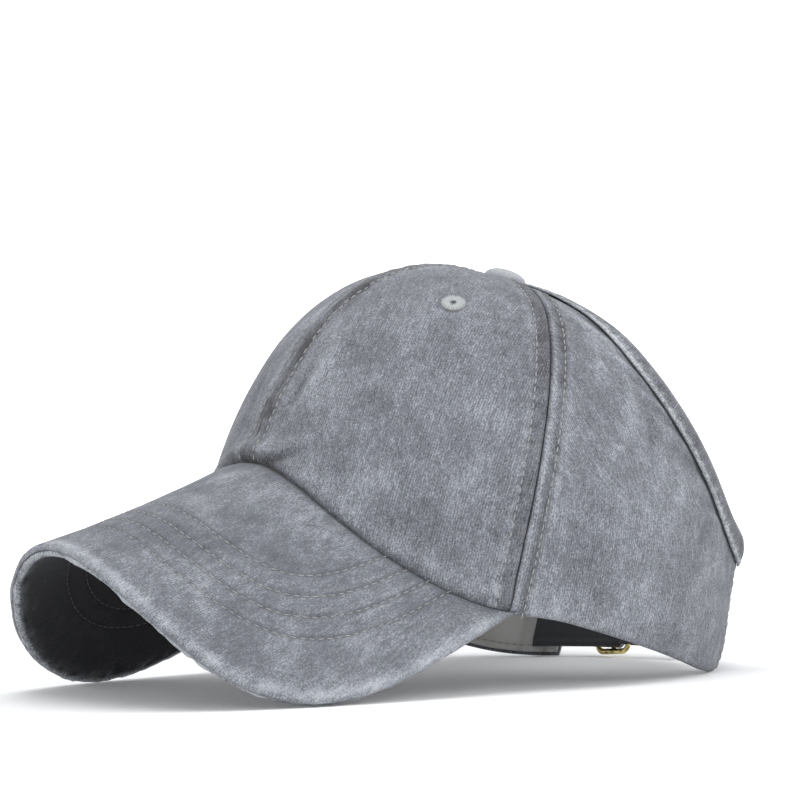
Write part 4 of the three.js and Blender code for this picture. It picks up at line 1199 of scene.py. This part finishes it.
def peak_grid(top_depth):
    """Arc, reach and the distance from the outline, over the whole peak."""
    share = np.linspace(-1, 1, PEAK_COLUMNS)
    arc_in = PEAK_HALF_ARC * np.abs(share)
    corner = float(seam_reach(float(PEAK_HALF_ARC), top_depth))
    arc_out, reach_out = peak_outline(np.abs(share), corner)
    reach_in = seam_reach(arc_in, top_depth)
    forward = 1 - (1 - np.linspace(0, 1, PEAK_ROWS)) ** 1.6
    arc = mix(arc_in[:, None], arc_out[:, None], forward[None, :]) * np.where(share < 0, -1, 1)[:, None]
    reach = mix(reach_in[:, None], reach_out[:, None], forward[None, :])
    rim_share = np.linspace(0, 1, 260)
    rim_arc, rim_reach = peak_outline(rim_share, corner)
    gaps = np.hypot(np.abs(arc)[..., None] - rim_arc, reach[..., None] - rim_reach)
    middle = len(share) // 2
    return arc, reach, gaps.min(-1), reach - np.interp(np.abs(arc), arc_in[middle:], reach_in[middle:])


def quilting(from_rim, arc, reach, seed):
    """Rows of stitches sink in and get painted shade, and the cloth swells a little between them."""
    relief = np.zeros_like(from_rim)
    shade = np.zeros_like(from_rim)
    run = np.hypot(arc, reach) * 0.4 + arc
    for k, row in enumerate(PEAK_STITCH_ROWS):
        pulled = waves(run, 5.0, seed + k)
        relief += -0.30 * bell(from_rim - row, 0.7) + 0.12 * bell(from_rim - row, 2.6) * pulled
        shade += 0.16 * bell(from_rim - row, 2.0) * pulled - 0.30 * bell(from_rim - row - 0.4, 0.6)
    return relief, shade


def peak_cover(name, node, top_depth, facing, material):
    """facing is 1 for the upper cover and -1 for the under cover."""
    arc, reach, from_rim, from_seam = peak_grid(top_depth if facing > 0 else top_depth + PEAK_COVER)
    normal = peak_normal(arc, reach)
    relief, shade = quilting(from_rim, arc, reach, 20 if facing > 0 else 30)
    base = peak_point(arc, reach, 0.0)
    dents, fine = broad_dents(base, 0.35)
    inside = np.clip(ROLL - from_rim, 0, ROLL)
    rolled = ROLL - np.sqrt(np.maximum(ROLL ** 2 - inside ** 2, 0))
    frayed = NOISE.at(base + 90, 2.4) + 0.6 * NOISE.at(base + 70, 0.9)
    outwards = unit(base[:, -1:] - base[:, -6:-5]) * bell(from_rim, 1.6)[..., None]
    if facing > 0:
        relief += dents - 0.35 * bell(from_seam - 0.5, 1.6)
        # A paler band along the rim, partly worn and partly painted highlight, then a painted shadow along
        # the join.
        shade += 0.58 * bell(from_rim - 2.2, 2.4) * (0.85 + 0.25 * frayed) + 0.08 * fine
        shade -= 1.0 * bell(from_seam, 0.5) + 0.16 * bell(from_seam, 3.0)
        outwards = outwards * 0.10 * frayed[..., None]
        outer_depth, inner_depth = top_depth + rolled, np.full_like(rolled, top_depth + PEAK_COVER)
    else:
        relief += 0.3 * dents
        # The under cover's material is painted nearly black as shade; only along its frayed rim is it lifted
        # to pale.
        shade = 0.2 * shade + 0.85 * bell(from_rim - 0.4, 1.0) * (0.8 + 0.3 * frayed)
        shade += 0.42 * bell(from_rim, 3.4) * (0.35 + 0.5 * frayed)
        outwards = outwards * (0.30 * frayed - 0.15)[..., None]
        outer_depth, inner_depth = top_depth + PEAK_COVER - rolled * 0.8, np.full_like(rolled, top_depth)
        outer_depth = outer_depth + 0.3 * bell(from_rim, 1.2) * frayed
    outer = peak_point(arc, reach, outer_depth) + normal * (facing * relief)[..., None] + outwards
    inner = peak_point(arc, reach, inner_depth) + outwards
    mesh = cloth_mesh(name, outer, inner, shade, CHART_STEP * (16 + facing))
    link(name, mesh, material, node)
    return {"points": outer, "normals": grid_normals(outer, normal * facing), "from_rim": from_rim,
            "from_seam": from_seam}


upper = peak_cover("peak_top_cloth", "peak_upper_cover", 0.0, 1, PEAK_COTTON)
under = peak_cover("peak_under_cloth", "peak_under_cover", PEAK_COVER + CLEARANCE, -1, SHADED_UNDER)
print("peak cloth, mm from seam to rim at the centre:", round(float(upper["from_seam"][90, -1]), 1))

# %% [markdown]
# ## The band at the back
# A strap runs from the left arm, through a wire buckle, and back on itself; a short tab on the right arm
# holds the buckle's middle bar. All of them lie along one band: arc runs round the back, depth runs
# inwards, and height is level. A band is stiff across its width, so it is straight between two heights.

# %% The band's own space
BACK_ARC_RADIUS = 84
BAND_LOW = 2
BAND_HIGH = 27
FACING_LENGTH = 34
FACING_HEIGHT = 25
FACING_CLOTH = 1.0
FACING_SLACK = 0.1
STRAP_CLOTH = 1.5
STRAP_BOTTOM = 3.6
STRAP_WIDTH = 20.6
STRAP_TUCK = 9
STRAP_TAIL = 22
TAB_BOTTOM = 2.8
TAB_WIDTH = 22.4
WIRE_RADIUS = 1.0
WRAP_SLACK = 0.15
BUCKLE_BOTTOM = 0.35
BUCKLE_HEIGHT = 27.4
BUCKLE_WIDTH = 18
BUCKLE_FROM_ARM = 14
BUCKLE_DEPTH = 4.0
BUCKLE_YAW_DROP = 2.3
BUCKLE_CORNER = 3
ARM_END_ARC = math.radians(180 - ARM_END_TURN) * BACK_ARC_RADIUS
# Band cloth deeper than INSIDE_DEPTH lies inside the cap and is painted nearly black, as shade.
INSIDE_DEPTH = 4.2
STRAP_INSIDE_PAINTED_SHADE = -1.9


def rise_over_floor(turn, z):
    low, high = np.zeros_like(turn), np.full_like(turn, 45.0)
    for _ in range(30):
        middle = (low + high) / 2
        below = dome_point(turn, middle)[..., 2] < z
        low, high = np.where(below, middle, low), np.where(below, high, middle)
    return (low + high) / 2


def band_point(arc, z, depth):
    """A point on the band; the arrays have one shape."""
    arc = np.asarray(arc, float)
    turn = 180 - np.degrees(arc / BACK_ARC_RADIUS)
    low = crown_point(turn, rise_over_floor(turn, BAND_LOW))
    high = crown_point(turn, rise_over_floor(turn, BAND_HIGH))
    level = np.stack([np.cos(np.radians(turn)), np.sin(np.radians(turn)), np.zeros_like(turn)], axis=-1)
    inward = unit(np.cross(high - low, level))
    inward = inward * -np.sign((inward * dome_normal(turn, 8)).sum(-1, keepdims=True))
    share = ((np.asarray(z) - BAND_LOW) / (BAND_HIGH - BAND_LOW))[..., None]
    return mix(low, high, share) + inward * np.asarray(depth)[..., None]


BAR_RIGHT = -ARM_END_ARC + BUCKLE_FROM_ARM
BAR_MIDDLE = BAR_RIGHT + BUCKLE_WIDTH / 2 - WIRE_RADIUS
BAR_LEFT = BAR_RIGHT + BUCKLE_WIDTH - 2 * WIRE_RADIUS
WRAP = WIRE_RADIUS + WRAP_SLACK + CLEARANCE + STRAP_CLOTH / 2
TUCK_DEPTH = CLOTH + CLEARANCE + FACING_SLACK + FACING_CLOTH + CLEARANCE + STRAP_CLOTH / 2


def depth_of_bar(arc):
    return BUCKLE_DEPTH + BUCKLE_YAW_DROP * (arc - BAR_MIDDLE) / (BAR_MIDDLE - BAR_RIGHT)


def wrap_path(bar, toward):
    """Round a wire bar, from the outer layer to the inner one."""
    turns = np.linspace(0, math.pi, 13)
    return [(bar + toward * WRAP * math.sin(a), depth_of_bar(bar) - WRAP * math.cos(a)) for a in turns]


print("bars of the buckle at arcs, mm:", [round(v, 1) for v in (BAR_RIGHT, BAR_MIDDLE, BAR_LEFT)])

# %% [markdown]
# ## Strap, tab and facings
# Strap and tab are bands folded from cloth, so their edges are rolled and their faces gather in small
# folds across. One function makes both from a path seen from above. The inside of a band lies in the
# dark of the cap and is painted nearly black, as shade. Each facing is a plain pale tape inside an arm's end.

# %% Strap, tab and facings
def strap_path():
    start = ARM_END_ARC + STRAP_TUCK
    outer, inner = depth_of_bar(BAR_LEFT) - WRAP, depth_of_bar(BAR_LEFT) + WRAP
    path = []
    for share in np.linspace(0, 1, 40, endpoint=False):
        dip = math.sin(math.pi * np.clip((share - 0.12) / 0.88, 0, 1))
        path.append((mix(start, BAR_LEFT + 1, share), mix(TUCK_DEPTH, outer, share) - 0.8 * dip))
    path += wrap_path(BAR_LEFT, -1)
    for share in np.linspace(0.1, 1, 14):
        path.append((BAR_LEFT + STRAP_TAIL * share, mix(inner, TUCK_DEPTH + 2.3, min(share * 1.6, 1))))
    return path


def tab_path():
    start = -ARM_END_ARC - STRAP_TUCK
    outer, inner = depth_of_bar(BAR_MIDDLE) - WRAP, depth_of_bar(BAR_MIDDLE) + WRAP
    under_bar = depth_of_bar(BAR_RIGHT) + WRAP + 0.1
    tuck = TUCK_DEPTH + STRAP_CLOTH + CLEARANCE
    path = [(start, TUCK_DEPTH), (-ARM_END_ARC - 2, TUCK_DEPTH), (-ARM_END_ARC + 4, TUCK_DEPTH),
            (BAR_RIGHT, under_bar), (mix(BAR_RIGHT, BAR_MIDDLE, 0.5), mix(under_bar, outer, 0.55))]
    path += wrap_path(BAR_MIDDLE, 1)
    path += [(BAR_RIGHT, inner), (-ARM_END_ARC + 2, max(tuck, inner - 0.2)), (start + 1, tuck + 0.2)]
    return path


def band_cloth(name, node, path, bottom, width, steps, gather, seed):
    """A folded band: rolled edges, and gathers that run across it."""
    line = smooth_through(path, steps)
    travelled = np.concatenate([[0], np.cumsum(np.linalg.norm(np.diff(line, axis=0), axis=1))])
    run = unit(np.gradient(line, axis=0))
    aside = np.stack([-run[:, 1], run[:, 0]], axis=-1)
    up = bunched(33, 0.5)
    from_edge = np.minimum(up, 1 - up) * width
    along, height = travelled[:, None] + 0 * up, bottom + width * up
    folds = waves(along, 5.6, seed) + 0.5 * waves(along + 0.35 * width * up, 8.2, seed + 1)
    calm = ease((from_edge - 1.5) / 3.0)
    plain = ease(along / 8)
    relief = gather * 0.5 * folds * calm * plain
    relief = relief + 0.32 * bell(from_edge - 1.1, 1.1) - 0.25 * bell(from_edge - 2.6, 0.6)
    thin = 0.45 * bell(from_edge, 0.6)
    shade = 0.42 * gather * folds * calm * plain
    shade = shade + 0.5 * bell(from_edge - 0.9, 1.0) - 0.3 * bell(from_edge - 2.8, 1.0)
    grids, inside_shades = [], []
    for half in (-1, 1):
        offset = half * (STRAP_CLOTH / 2 - thin) + relief * (-1 if half < 0 else -0.6)
        place = line[:, None, :] + aside[:, None, :] * offset[..., None]
        grids.append(band_point(place[..., 0], np.broadcast_to(height, along.shape), place[..., 1]))
        # Painted shade: the inside of the band is made nearly black.
        inside_shades.append(STRAP_INSIDE_PAINTED_SHADE * ease((place[..., 1] - INSIDE_DEPTH) / 0.5))
    mesh = cloth_mesh(name, grids[0], grids[1], shade + inside_shades[0], CHART_STEP * seed, inside_shades[1] - inside_shades[0])
    link(name, mesh, COTTON, node)
    return {"points": grids[0], "normals": unit(grids[0] - grids[1]), "travelled": travelled,
            "outside": inside_shades[0][:, 0] > -0.5, "up": up}


def facing(hand):
    along, up = np.linspace(0, 1, 46)[:, None], np.linspace(0, 1, 30)[None, :]
    arc = ARM_END_ARC + 0.6 + FACING_LENGTH * along
    turn = 180 - np.degrees(arc / BACK_ARC_RADIUS)
    low = lower_rise(turn) + 0.5
    high = rise_over_floor(turn, dome_point(turn, low)[..., 2] + FACING_HEIGHT)
    rise = mix(low, high, up)
    turn = np.broadcast_to(hand * turn, rise.shape)
    depth = CLOTH + CLEARANCE + FACING_SLACK + FACING_CLOTH
    outer = crown_point(turn, rise, depth)
    from_end = length_along(outer, 0)
    from_low = length_along(outer, 1)
    relief = 0.25 * NOISE.at(outer, (9, 9, 20)) + 0.45 * bell(from_end - 1.8, 1.4)
    relief = relief - 0.3 * bell(from_end - 4.4, 0.7) - 0.2 * bell(from_low - 2.2, 0.6)
    shade = 0.25 * NOISE.at(outer, 7) - 0.2 * bell(from_low - 2.2, 0.8) - 0.9 * bell(from_end - 4.4, 0.7)
    shade += 0.5 * bell(from_end - 1.8, 1.2) - 0.35 * bell(from_end - 13, 0.9) - 0.15
    outer = outer - dome_normal(turn, rise) * relief[..., None]
    inner = crown_point(turn, rise, depth - FACING_CLOTH)
    mesh = cloth_mesh("facing_" + HANDS[hand], outer, inner, shade, CHART_STEP * (20 + hand))
    link("facing_tape_" + HANDS[hand], mesh, FACING, "arm_facing_" + HANDS[hand])
    return {"points": outer, "normals": grid_normals(outer, -dome_normal(turn, rise)), "from_low": from_low}


strap = band_cloth("strap_cloth", "strap", strap_path(), STRAP_BOTTOM, STRAP_WIDTH, 260, 1.0, 23)
tab = band_cloth("tab_cloth", "buckle_tab", tab_path(), TAB_BOTTOM, TAB_WIDTH, 150, 0.35, 24)
facings = {hand: facing(hand) for hand in (1, -1)}
print("strap and tab, mm of cloth:", round(strap["travelled"][-1], 1), round(tab["travelled"][-1], 1))

# %% [markdown]
# ## The buckle
# The buckle is one loop of round brass wire with a bar across its middle. A tube is swept round a
# rounded rectangle in the band's own space and then bent with the band, so that it lies as the cloth
# does. Boxes with bevelled edges would look like plate, not wire.

# %% Buckle
def wire(line, radius, sides, closed):
    """A tube in band space along a list of (arc, height) points, capped if it is open."""
    line = np.asarray(line, float)
    if closed:
        run = unit(np.roll(line, -1, axis=0) - np.roll(line, 1, axis=0))
    else:
        run = unit(np.gradient(line, axis=0))
    angles = np.linspace(0, 2 * math.pi, sides, endpoint=False)
    out = radius * np.cos(angles)
    arc = line[:, :1] + run[:, 1:] * out
    height = line[:, 1:] - run[:, :1] * out
    lift = np.broadcast_to(radius * np.sin(angles), arc.shape)
    points = band_point(arc, height, depth_of_bar(arc) + lift)
    index = np.arange(points.shape[0] * sides).reshape(-1, sides)
    following = np.roll(index, -1, axis=0) if closed else index[1:]
    here = index if closed else index[:-1]
    corners = [here, np.roll(here, -1, 1), np.roll(following, -1, 1), following]
    faces = np.stack(corners, axis=-1).reshape(-1, 4)
    caps = [] if closed else [index[0].tolist(), index[-1][::-1].tolist()]
    flat = to_frame(points.reshape(-1, 3))
    flipped = outward(flat, faces)
    if flipped is not faces:
        caps = [cap[::-1] for cap in caps]
    return flat, flipped.tolist() + caps


half_wide = (BAR_LEFT - BAR_RIGHT) / 2
half_high = BUCKLE_HEIGHT / 2 - WIRE_RADIUS
centre_arc = (BAR_LEFT + BAR_RIGHT) / 2
centre_height = BUCKLE_BOTTOM + BUCKLE_HEIGHT / 2
loop = []
for sign_x, sign_z, start_angle in ((1, 1, 0), (-1, 1, 90), (-1, -1, 180), (1, -1, 270)):
    for a in np.radians(np.linspace(start_angle, start_angle + 90, 10)):
        loop.append((centre_arc + sign_x * (half_wide - BUCKLE_CORNER) + BUCKLE_CORNER * math.cos(a),
                     centre_height + sign_z * (half_high - BUCKLE_CORNER) + BUCKLE_CORNER * math.sin(a)))
dense_loop = []
for a, b in zip(loop, loop[1:] + loop[:1]):
    count = max(1, int(math.dist(a, b) / 1.2))
    dense_loop += [tuple(mix(np.array(a), np.array(b), k / count)) for k in range(count)]
ring_points, ring_faces = wire(dense_loop, WIRE_RADIUS, 14, True)
bar_line = [(centre_arc, centre_height + half_high * k) for k in np.linspace(-0.97, 0.97, 20)]
bar_points, bar_faces = wire(bar_line, WIRE_RADIUS * 0.9, 14, False)
buckle_mesh = bpy.data.meshes.new("buckle_wire")
shifted_faces = [[k + len(ring_points) for k in face] for face in bar_faces]
buckle_mesh.from_pydata(np.vstack([ring_points, bar_points]).tolist(), [], ring_faces + shifted_faces)
link("buckle_wire", buckle_mesh, BRASS, "buckle")
print("buckle faces:", len(buckle_mesh.polygons))

# %% [markdown]
# ## Stitches
# Stitches repeat thousands of times along lines that lie on the cloth, which is work for Geometry Nodes.
# A line is a chain of edges with the cloth's normal stored on its points. The tree turns it into a
# curve, spaces points by the stitch pitch, and puts one short thread on each, laid along the line and
# facing out of the cloth. Turned by a quarter, the same tree sews the spokes of an eyelet.

# %% A tree that sews along a line
def sewing_tree():
    tree = bpy.data.node_groups.new("sew_along_line", "GeometryNodeTree")
    sockets = tree.interface
    sockets.new_socket("Line", in_out="INPUT", socket_type="NodeSocketGeometry")
    for label, kind, value in (("Pitch", "Float", 0.003), ("Length", "Float", 0.0024),
                               ("Thickness", "Float", 0.0006), ("Quarter Turn", "Float", 0.0),
                               ("Sway", "Float", 0.08), ("Seed", "Int", 5)):
        sockets.new_socket(label, in_out="INPUT", socket_type="NodeSocket" + kind).default_value = value
    sockets.new_socket("Thread", in_out="INPUT", socket_type="NodeSocketMaterial")
    sockets.new_socket("Stitches", in_out="OUTPUT", socket_type="NodeSocketGeometry")

    def add(kind, settings=None, **inputs):
        made = tree.nodes.new(kind)
        for key, value in (settings or {}).items():
            setattr(made, key, value)
        for key, value in inputs.items():
            socket = next(s for s in made.inputs if s.name.replace(" ", "_") == key and s.enabled)
            if isinstance(value, bpy.types.NodeSocket):
                tree.links.new(value, socket)
            else:
                socket.default_value = value
        return made

    given = add("NodeGroupInput").outputs
    curve = add("GeometryNodeMeshToCurve", Mesh=given["Line"]).outputs[0]
    spaced = add("GeometryNodeResampleCurve", {"mode": "LENGTH"}, Curve=curve, Length=given["Pitch"])
    thread = add("GeometryNodeMeshUVSphere", Segments=6, Rings=5, Radius=0.5).outputs[0]
    size = add("ShaderNodeCombineXYZ", X=given["Length"], Y=given["Thickness"], Z=given["Thickness"])
    thread = add("GeometryNodeTransform", Geometry=thread, Scale=size.outputs[0]).outputs[0]
    way = add("GeometryNodeInputTangent").outputs[0]
    laid = add("FunctionNodeAlignRotationToVector", {"axis": "X"}, Vector=way).outputs[0]
    normal = add("GeometryNodeInputNamedAttribute", {"data_type": "FLOAT_VECTOR"}, Name="face_up").outputs[0]
    laid = add("FunctionNodeAlignRotationToVector", {"axis": "Z", "pivot_axis": "X"},
               Rotation=laid, Vector=normal).outputs[0]
    drift = add("FunctionNodeRandomValue", {"data_type": "FLOAT"}, Min=-1.0, Max=1.0, Seed=given["Seed"])
    sway = add("ShaderNodeMath", {"operation": "MULTIPLY_ADD"}).inputs
    tree.links.new(drift.outputs[1], sway[0])
    tree.links.new(given["Sway"], sway[1])
    tree.links.new(given["Quarter Turn"], sway[2])
    twist = add("ShaderNodeCombineXYZ", Z=sway[0].node.outputs[0]).outputs[0]
    turned = add("FunctionNodeRotateRotation", {"rotation_space": "LOCAL"}, Rotation=laid)
    tree.links.new(twist, turned.inputs[1])
    sewn = add("GeometryNodeInstanceOnPoints", Points=spaced.outputs[0], Instance=thread,
               Rotation=turned.outputs[0])
    real = add("GeometryNodeRealizeInstances", Geometry=sewn.outputs[0]).outputs[0]
    smooth = add("GeometryNodeSetShadeSmooth", Geometry=real).outputs[0]
    done = add("GeometryNodeSetMaterial", Geometry=smooth, Material=given["Thread"]).outputs[0]
    add("NodeGroupOutput", Stitches=done)
    return tree


SEWING = sewing_tree()
SEWING_INPUTS = {s.name: s.identifier for s in SEWING.interface.items_tree if s.in_out == "INPUT"}
print("inputs of the sewing tree:", list(SEWING_INPUTS))

# %% [markdown]
# ## Lines on the cloth
# The grids carry their distances from each seam and edge, so a row of stitches is the line where such a
# distance has one value. That keeps a row beside its seam however the panel bends. A row stops short of
# the table and of the join, so that no thread hangs in the air.

# %% Lines on the cloth, and sewing along them
STITCH_FLOOR = 1.5
JOIN_CLEAR = 1.2


def trace(piece, field, value, lift=0.08, keep=None):
    """The line on a grid where a field has one value, column by column."""
    points, normals, levels = piece["points"], piece["normals"], piece[field]
    line, up = [], []
    for j in range(levels.shape[1]):
        column = levels[:, j]
        above = column > value
        crossings = np.nonzero(above[1:] != above[:-1])[0]
        if len(crossings) == 0 or (keep is not None and not keep[j]):
            continue
        i = crossings[0]
        share = (value - column[i]) / (column[i + 1] - column[i])
        normal = unit(mix(normals[i, j], normals[i + 1, j], share))
        line.append(mix(points[i, j], points[i + 1, j], share) + normal * lift)
        up.append(normal)
    return np.array(line), np.array(up)


def across_columns(piece):
    """The same grid with its two directions exchanged."""
    return {key: np.swapaxes(value, 0, 1) if np.ndim(value) > 1 else value for key, value in piece.items()}


def sew(name, lines, thread, pitch, length, thickness, quarter_turn=0.0, sway=0.09, seed=5):
    """Sews threads of one kind along all the lines of a row, as one mesh."""
    vertices, ups, edges = [], [], []
    for line, up in lines:
        clear = line[:, 2] + SHIFT[2] > STITCH_FLOOR
        line, up = line[clear], up[clear]
        start = len(vertices)
        vertices += to_frame(line).tolist()
        ups += up.tolist()
        edges += [(k, k + 1) for k in range(start, start + len(line) - 1)]
    mesh = bpy.data.meshes.new(name + "_line")
    mesh.from_pydata(vertices, edges, [])
    mesh.attributes.new("face_up", "FLOAT_VECTOR", "POINT").data.foreach_set("vector", np.array(ups).ravel())
    carrier = put_in_scene(name + "_line", mesh)
    modifier = carrier.modifiers.new("sewing", "NODES")
    modifier.node_group = SEWING
    for label, value in (("Pitch", pitch * MM), ("Length", length * MM), ("Thickness", thickness * MM),
                         ("Quarter Turn", quarter_turn), ("Sway", sway), ("Seed", seed), ("Thread", thread)):
        modifier[SEWING_INPUTS[label]] = value
    evaluated = carrier.evaluated_get(bpy.context.evaluated_depsgraph_get())
    sewn = bpy.data.meshes.new_from_object(evaluated)
    sewn.name = name
    bpy.data.objects.remove(carrier)
    made = put_in_scene(name, sewn)
    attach(made, "root")
    return len(sewn.polygons)


crown_lines, edge_lines, peak_lines, under_lines, band_lines = [], [], [], [], []
for hand in (1, -1):
    for piece, field, distance, place in ((front[hand], "from_centre", CENTRE_STITCH, 5),
                                          (front[hand], "from_side", SIDE_STITCH, -5),
                                          (sides[hand], "from_seam", SIDE_STITCH, 5)):
        crown_lines.append(trace(piece, field, distance, keep=piece["above"][place] > JOIN_CLEAR))
    arm_rows = sides[hand]["rise"][-1] < ARM_TOP_RISE - 1
    for stitch in HEM_STITCHES:
        edge_lines.append(trace(sides[hand], "from_edge", stitch, keep=arm_rows))
    half = bindings[hand]["inward"].shape[1] // 2
    for face in (slice(0, half), slice(half + 1, None)):
        part = {key: bindings[hand][key][:, face] for key in ("points", "normals", "inward")}
        edge_lines.append(trace(across_columns(part), "inward", BINDING_STITCH))
print("lines on the crown:", len(crown_lines), "on the edges:", len(edge_lines))

# %% [markdown]
# ## Sewing
# Four rows hold the peak's board, seen above and below. The band has a row along each edge, only where
# its outer side shows. The rows differ in pitch and thread, as they do on the cap: fine and pale on the
# crown and thinner on the peak. Under the peak the thread is painted dark, as the shade there.

# %% Sew the crown, the peak and the band
BAND_STITCH = 2.6
FACING_STITCH = 2.2
for row in PEAK_STITCH_ROWS:
    for piece, lines in ((upper, peak_lines), (under, under_lines)):
        lines.append(trace(across_columns(piece), "from_rim", row, 0.1))
for band in (strap, tab):
    seen = band["outside"]
    for height in (BAND_STITCH / STRAP_WIDTH, 1 - BAND_STITCH / STRAP_WIDTH):
        k = int(np.argmax(band["up"] > height))
        facing_out = band["normals"][seen, k]
        band_lines.append((band["points"][seen, k] + facing_out * 0.1, facing_out))
for hand in (1, -1):
    band_lines.append(trace(across_columns(facings[hand]), "from_low", FACING_STITCH, 0.1))
faces = 0
for name, lines, thread, pitch, length, thickness in (
        ("crown_stitches", crown_lines, THREAD_GREY, 2.9, 2.3, 0.5),
        ("edge_stitches", edge_lines, THREAD_GREY, 2.7, 2.1, 0.45),
        ("peak_stitches", peak_lines, THREAD_GREY, 3.0, 2.3, 0.42),
        ("under_stitches", under_lines, THREAD_SHADED, 3.0, 2.9, 0.35),
        ("band_stitches", band_lines, THREAD_GREY, 2.5, 2.1, 0.55)):
    lines = [line for line in lines if len(line[0]) > 2]
    faces += sew(name, lines, thread, pitch, length, thickness)
print("faces of thread:", faces)

# %% [markdown]
# ## The button
# The button is a metal disc covered in cloth, which gathers under its edge. It is turned on a lathe and
# then dented, and it leans back with the crown's top, which sinks a little behind it.

# %% Button
BUTTON_RADIUS = 7.4
BUTTON_HEIGHT = 5.4
BUTTON_CHART = 0.4
button_top = settle(0, -CROWN_TOP_FORWARD, CROWN_HEIGHT + CLEARANCE)
seat = [sag(0, step - CROWN_TOP_FORWARD, CROWN_HEIGHT) for step in (-1, 1)]
lean = CROWN_PITCH + math.atan((seat[1] - seat[0]) / 2)
tilt = np.array([[1, 0, 0], [0, math.cos(lean), math.sin(lean)], [0, -math.sin(lean), math.cos(lean)]])
profile = [(0.0, 0.0), (0.82, 0.0), (0.93, 0.07)]
for a in np.linspace(0, math.pi / 2, 20):
    profile.append((max(math.cos(a), 0) ** 0.75, 0.2 + 0.8 * math.sin(a) ** 0.85))
profile = [(BUTTON_RADIUS * r, BUTTON_HEIGHT * h) for r, h in profile[:-1]] + [(0, BUTTON_HEIGHT)]
button_mesh = lathe("button_cover", profile, 64)
places = np.array([v.co for v in button_mesh.vertices])
around = np.degrees(np.arctan2(places[:, 1], places[:, 0]))
gathered = bell(places[:, 2] - 1.2, 1.4) * (places[:, 2] > 0.1)
places[:, :2] *= (1 + 0.012 * gathered * np.sin(np.radians(around * 22)))[:, None]
places[:, 2] += 0.12 * NOISE.at(places + 20, 4) * (places[:, 2] > 1)
button_shade = 0.2 * NOISE.at(places + 70, 3.2) - 0.5 * gathered + 0.12
button_mesh.vertices.foreach_set("co", to_frame(places @ tilt.T + button_top).ravel())
carry(button_mesh, places[:, :2] * MM + BUTTON_CHART, button_shade)
link("button_cover", button_mesh, WORN, "button")
print("button, mm high:", BUTTON_HEIGHT)

# %% [markdown]
# ## The eyelets
# An air hole is sewn over with close stitches that point to its middle. A low ring gives the sewn rim
# its height, and the sewing tree lays the stitches over it as spokes, each turned a little at random.

# %% Eyelets
EYELET_RADIUS = 4.0
EYELET_HOLE_RADIUS = 1.1
EYELET_TURN = 36
EYELET_RISE = 50
SPOKES = 34
SPOKE_OVERLAP = 0.9
SPOKE_THICKNESS = 0.62
SPOKE_SWAY = 0.26


def eyelet(hand):
    nearest = np.linalg.norm(front[hand]["points"] - dome_point(hand * EYELET_TURN, EYELET_RISE), axis=-1)
    i, j = np.unravel_index(nearest.argmin(), nearest.shape)
    seat, up = front[hand]["points"][i, j], front[hand]["normals"][i, j]
    east = unit(np.cross(np.array([0, 0, 1.0]), up))
    north = np.cross(up, east)
    axes = np.stack([east, north, up], axis=1)
    section = [(EYELET_HOLE_RADIUS, 0.0), (EYELET_RADIUS, 0.0), (EYELET_RADIUS - 0.2, 0.3),
               (EYELET_RADIUS - 1.0, 0.55), (EYELET_HOLE_RADIUS + 0.8, 0.5), (EYELET_HOLE_RADIUS, 0.3)]
    mesh = lathe("eyelet_ring_" + HANDS[hand], section + section[:1], 40)
    places = np.array([v.co for v in mesh.vertices])
    mesh.vertices.foreach_set("co", to_frame(places @ axes.T + seat).ravel())
    link("eyelet_ring_" + HANDS[hand], mesh, THREAD_GREY, "eyelet_" + HANDS[hand])
    middle = (EYELET_RADIUS + EYELET_HOLE_RADIUS) / 2
    angles = np.linspace(0, 2 * math.pi, 97)
    circle = np.stack([middle * np.cos(angles), middle * np.sin(angles), 0 * angles + 0.5], axis=-1)
    line = circle @ axes.T + seat
    ups = np.broadcast_to(up, line.shape)
    return sew("eyelet_spokes_" + HANDS[hand], [(line, ups)], THREAD_PALE,
               pitch=2 * math.pi * middle / SPOKES,
               length=EYELET_RADIUS - EYELET_HOLE_RADIUS + SPOKE_OVERLAP,
               thickness=SPOKE_THICKNESS, quarter_turn=math.pi / 2, sway=SPOKE_SWAY, seed=9 + hand)


print("faces of the eyelets' spokes:", eyelet(1) + eyelet(-1))

# %% [markdown]
# The dressed cap has to stay in the frame's box, apart from the little that cloth stands proud.
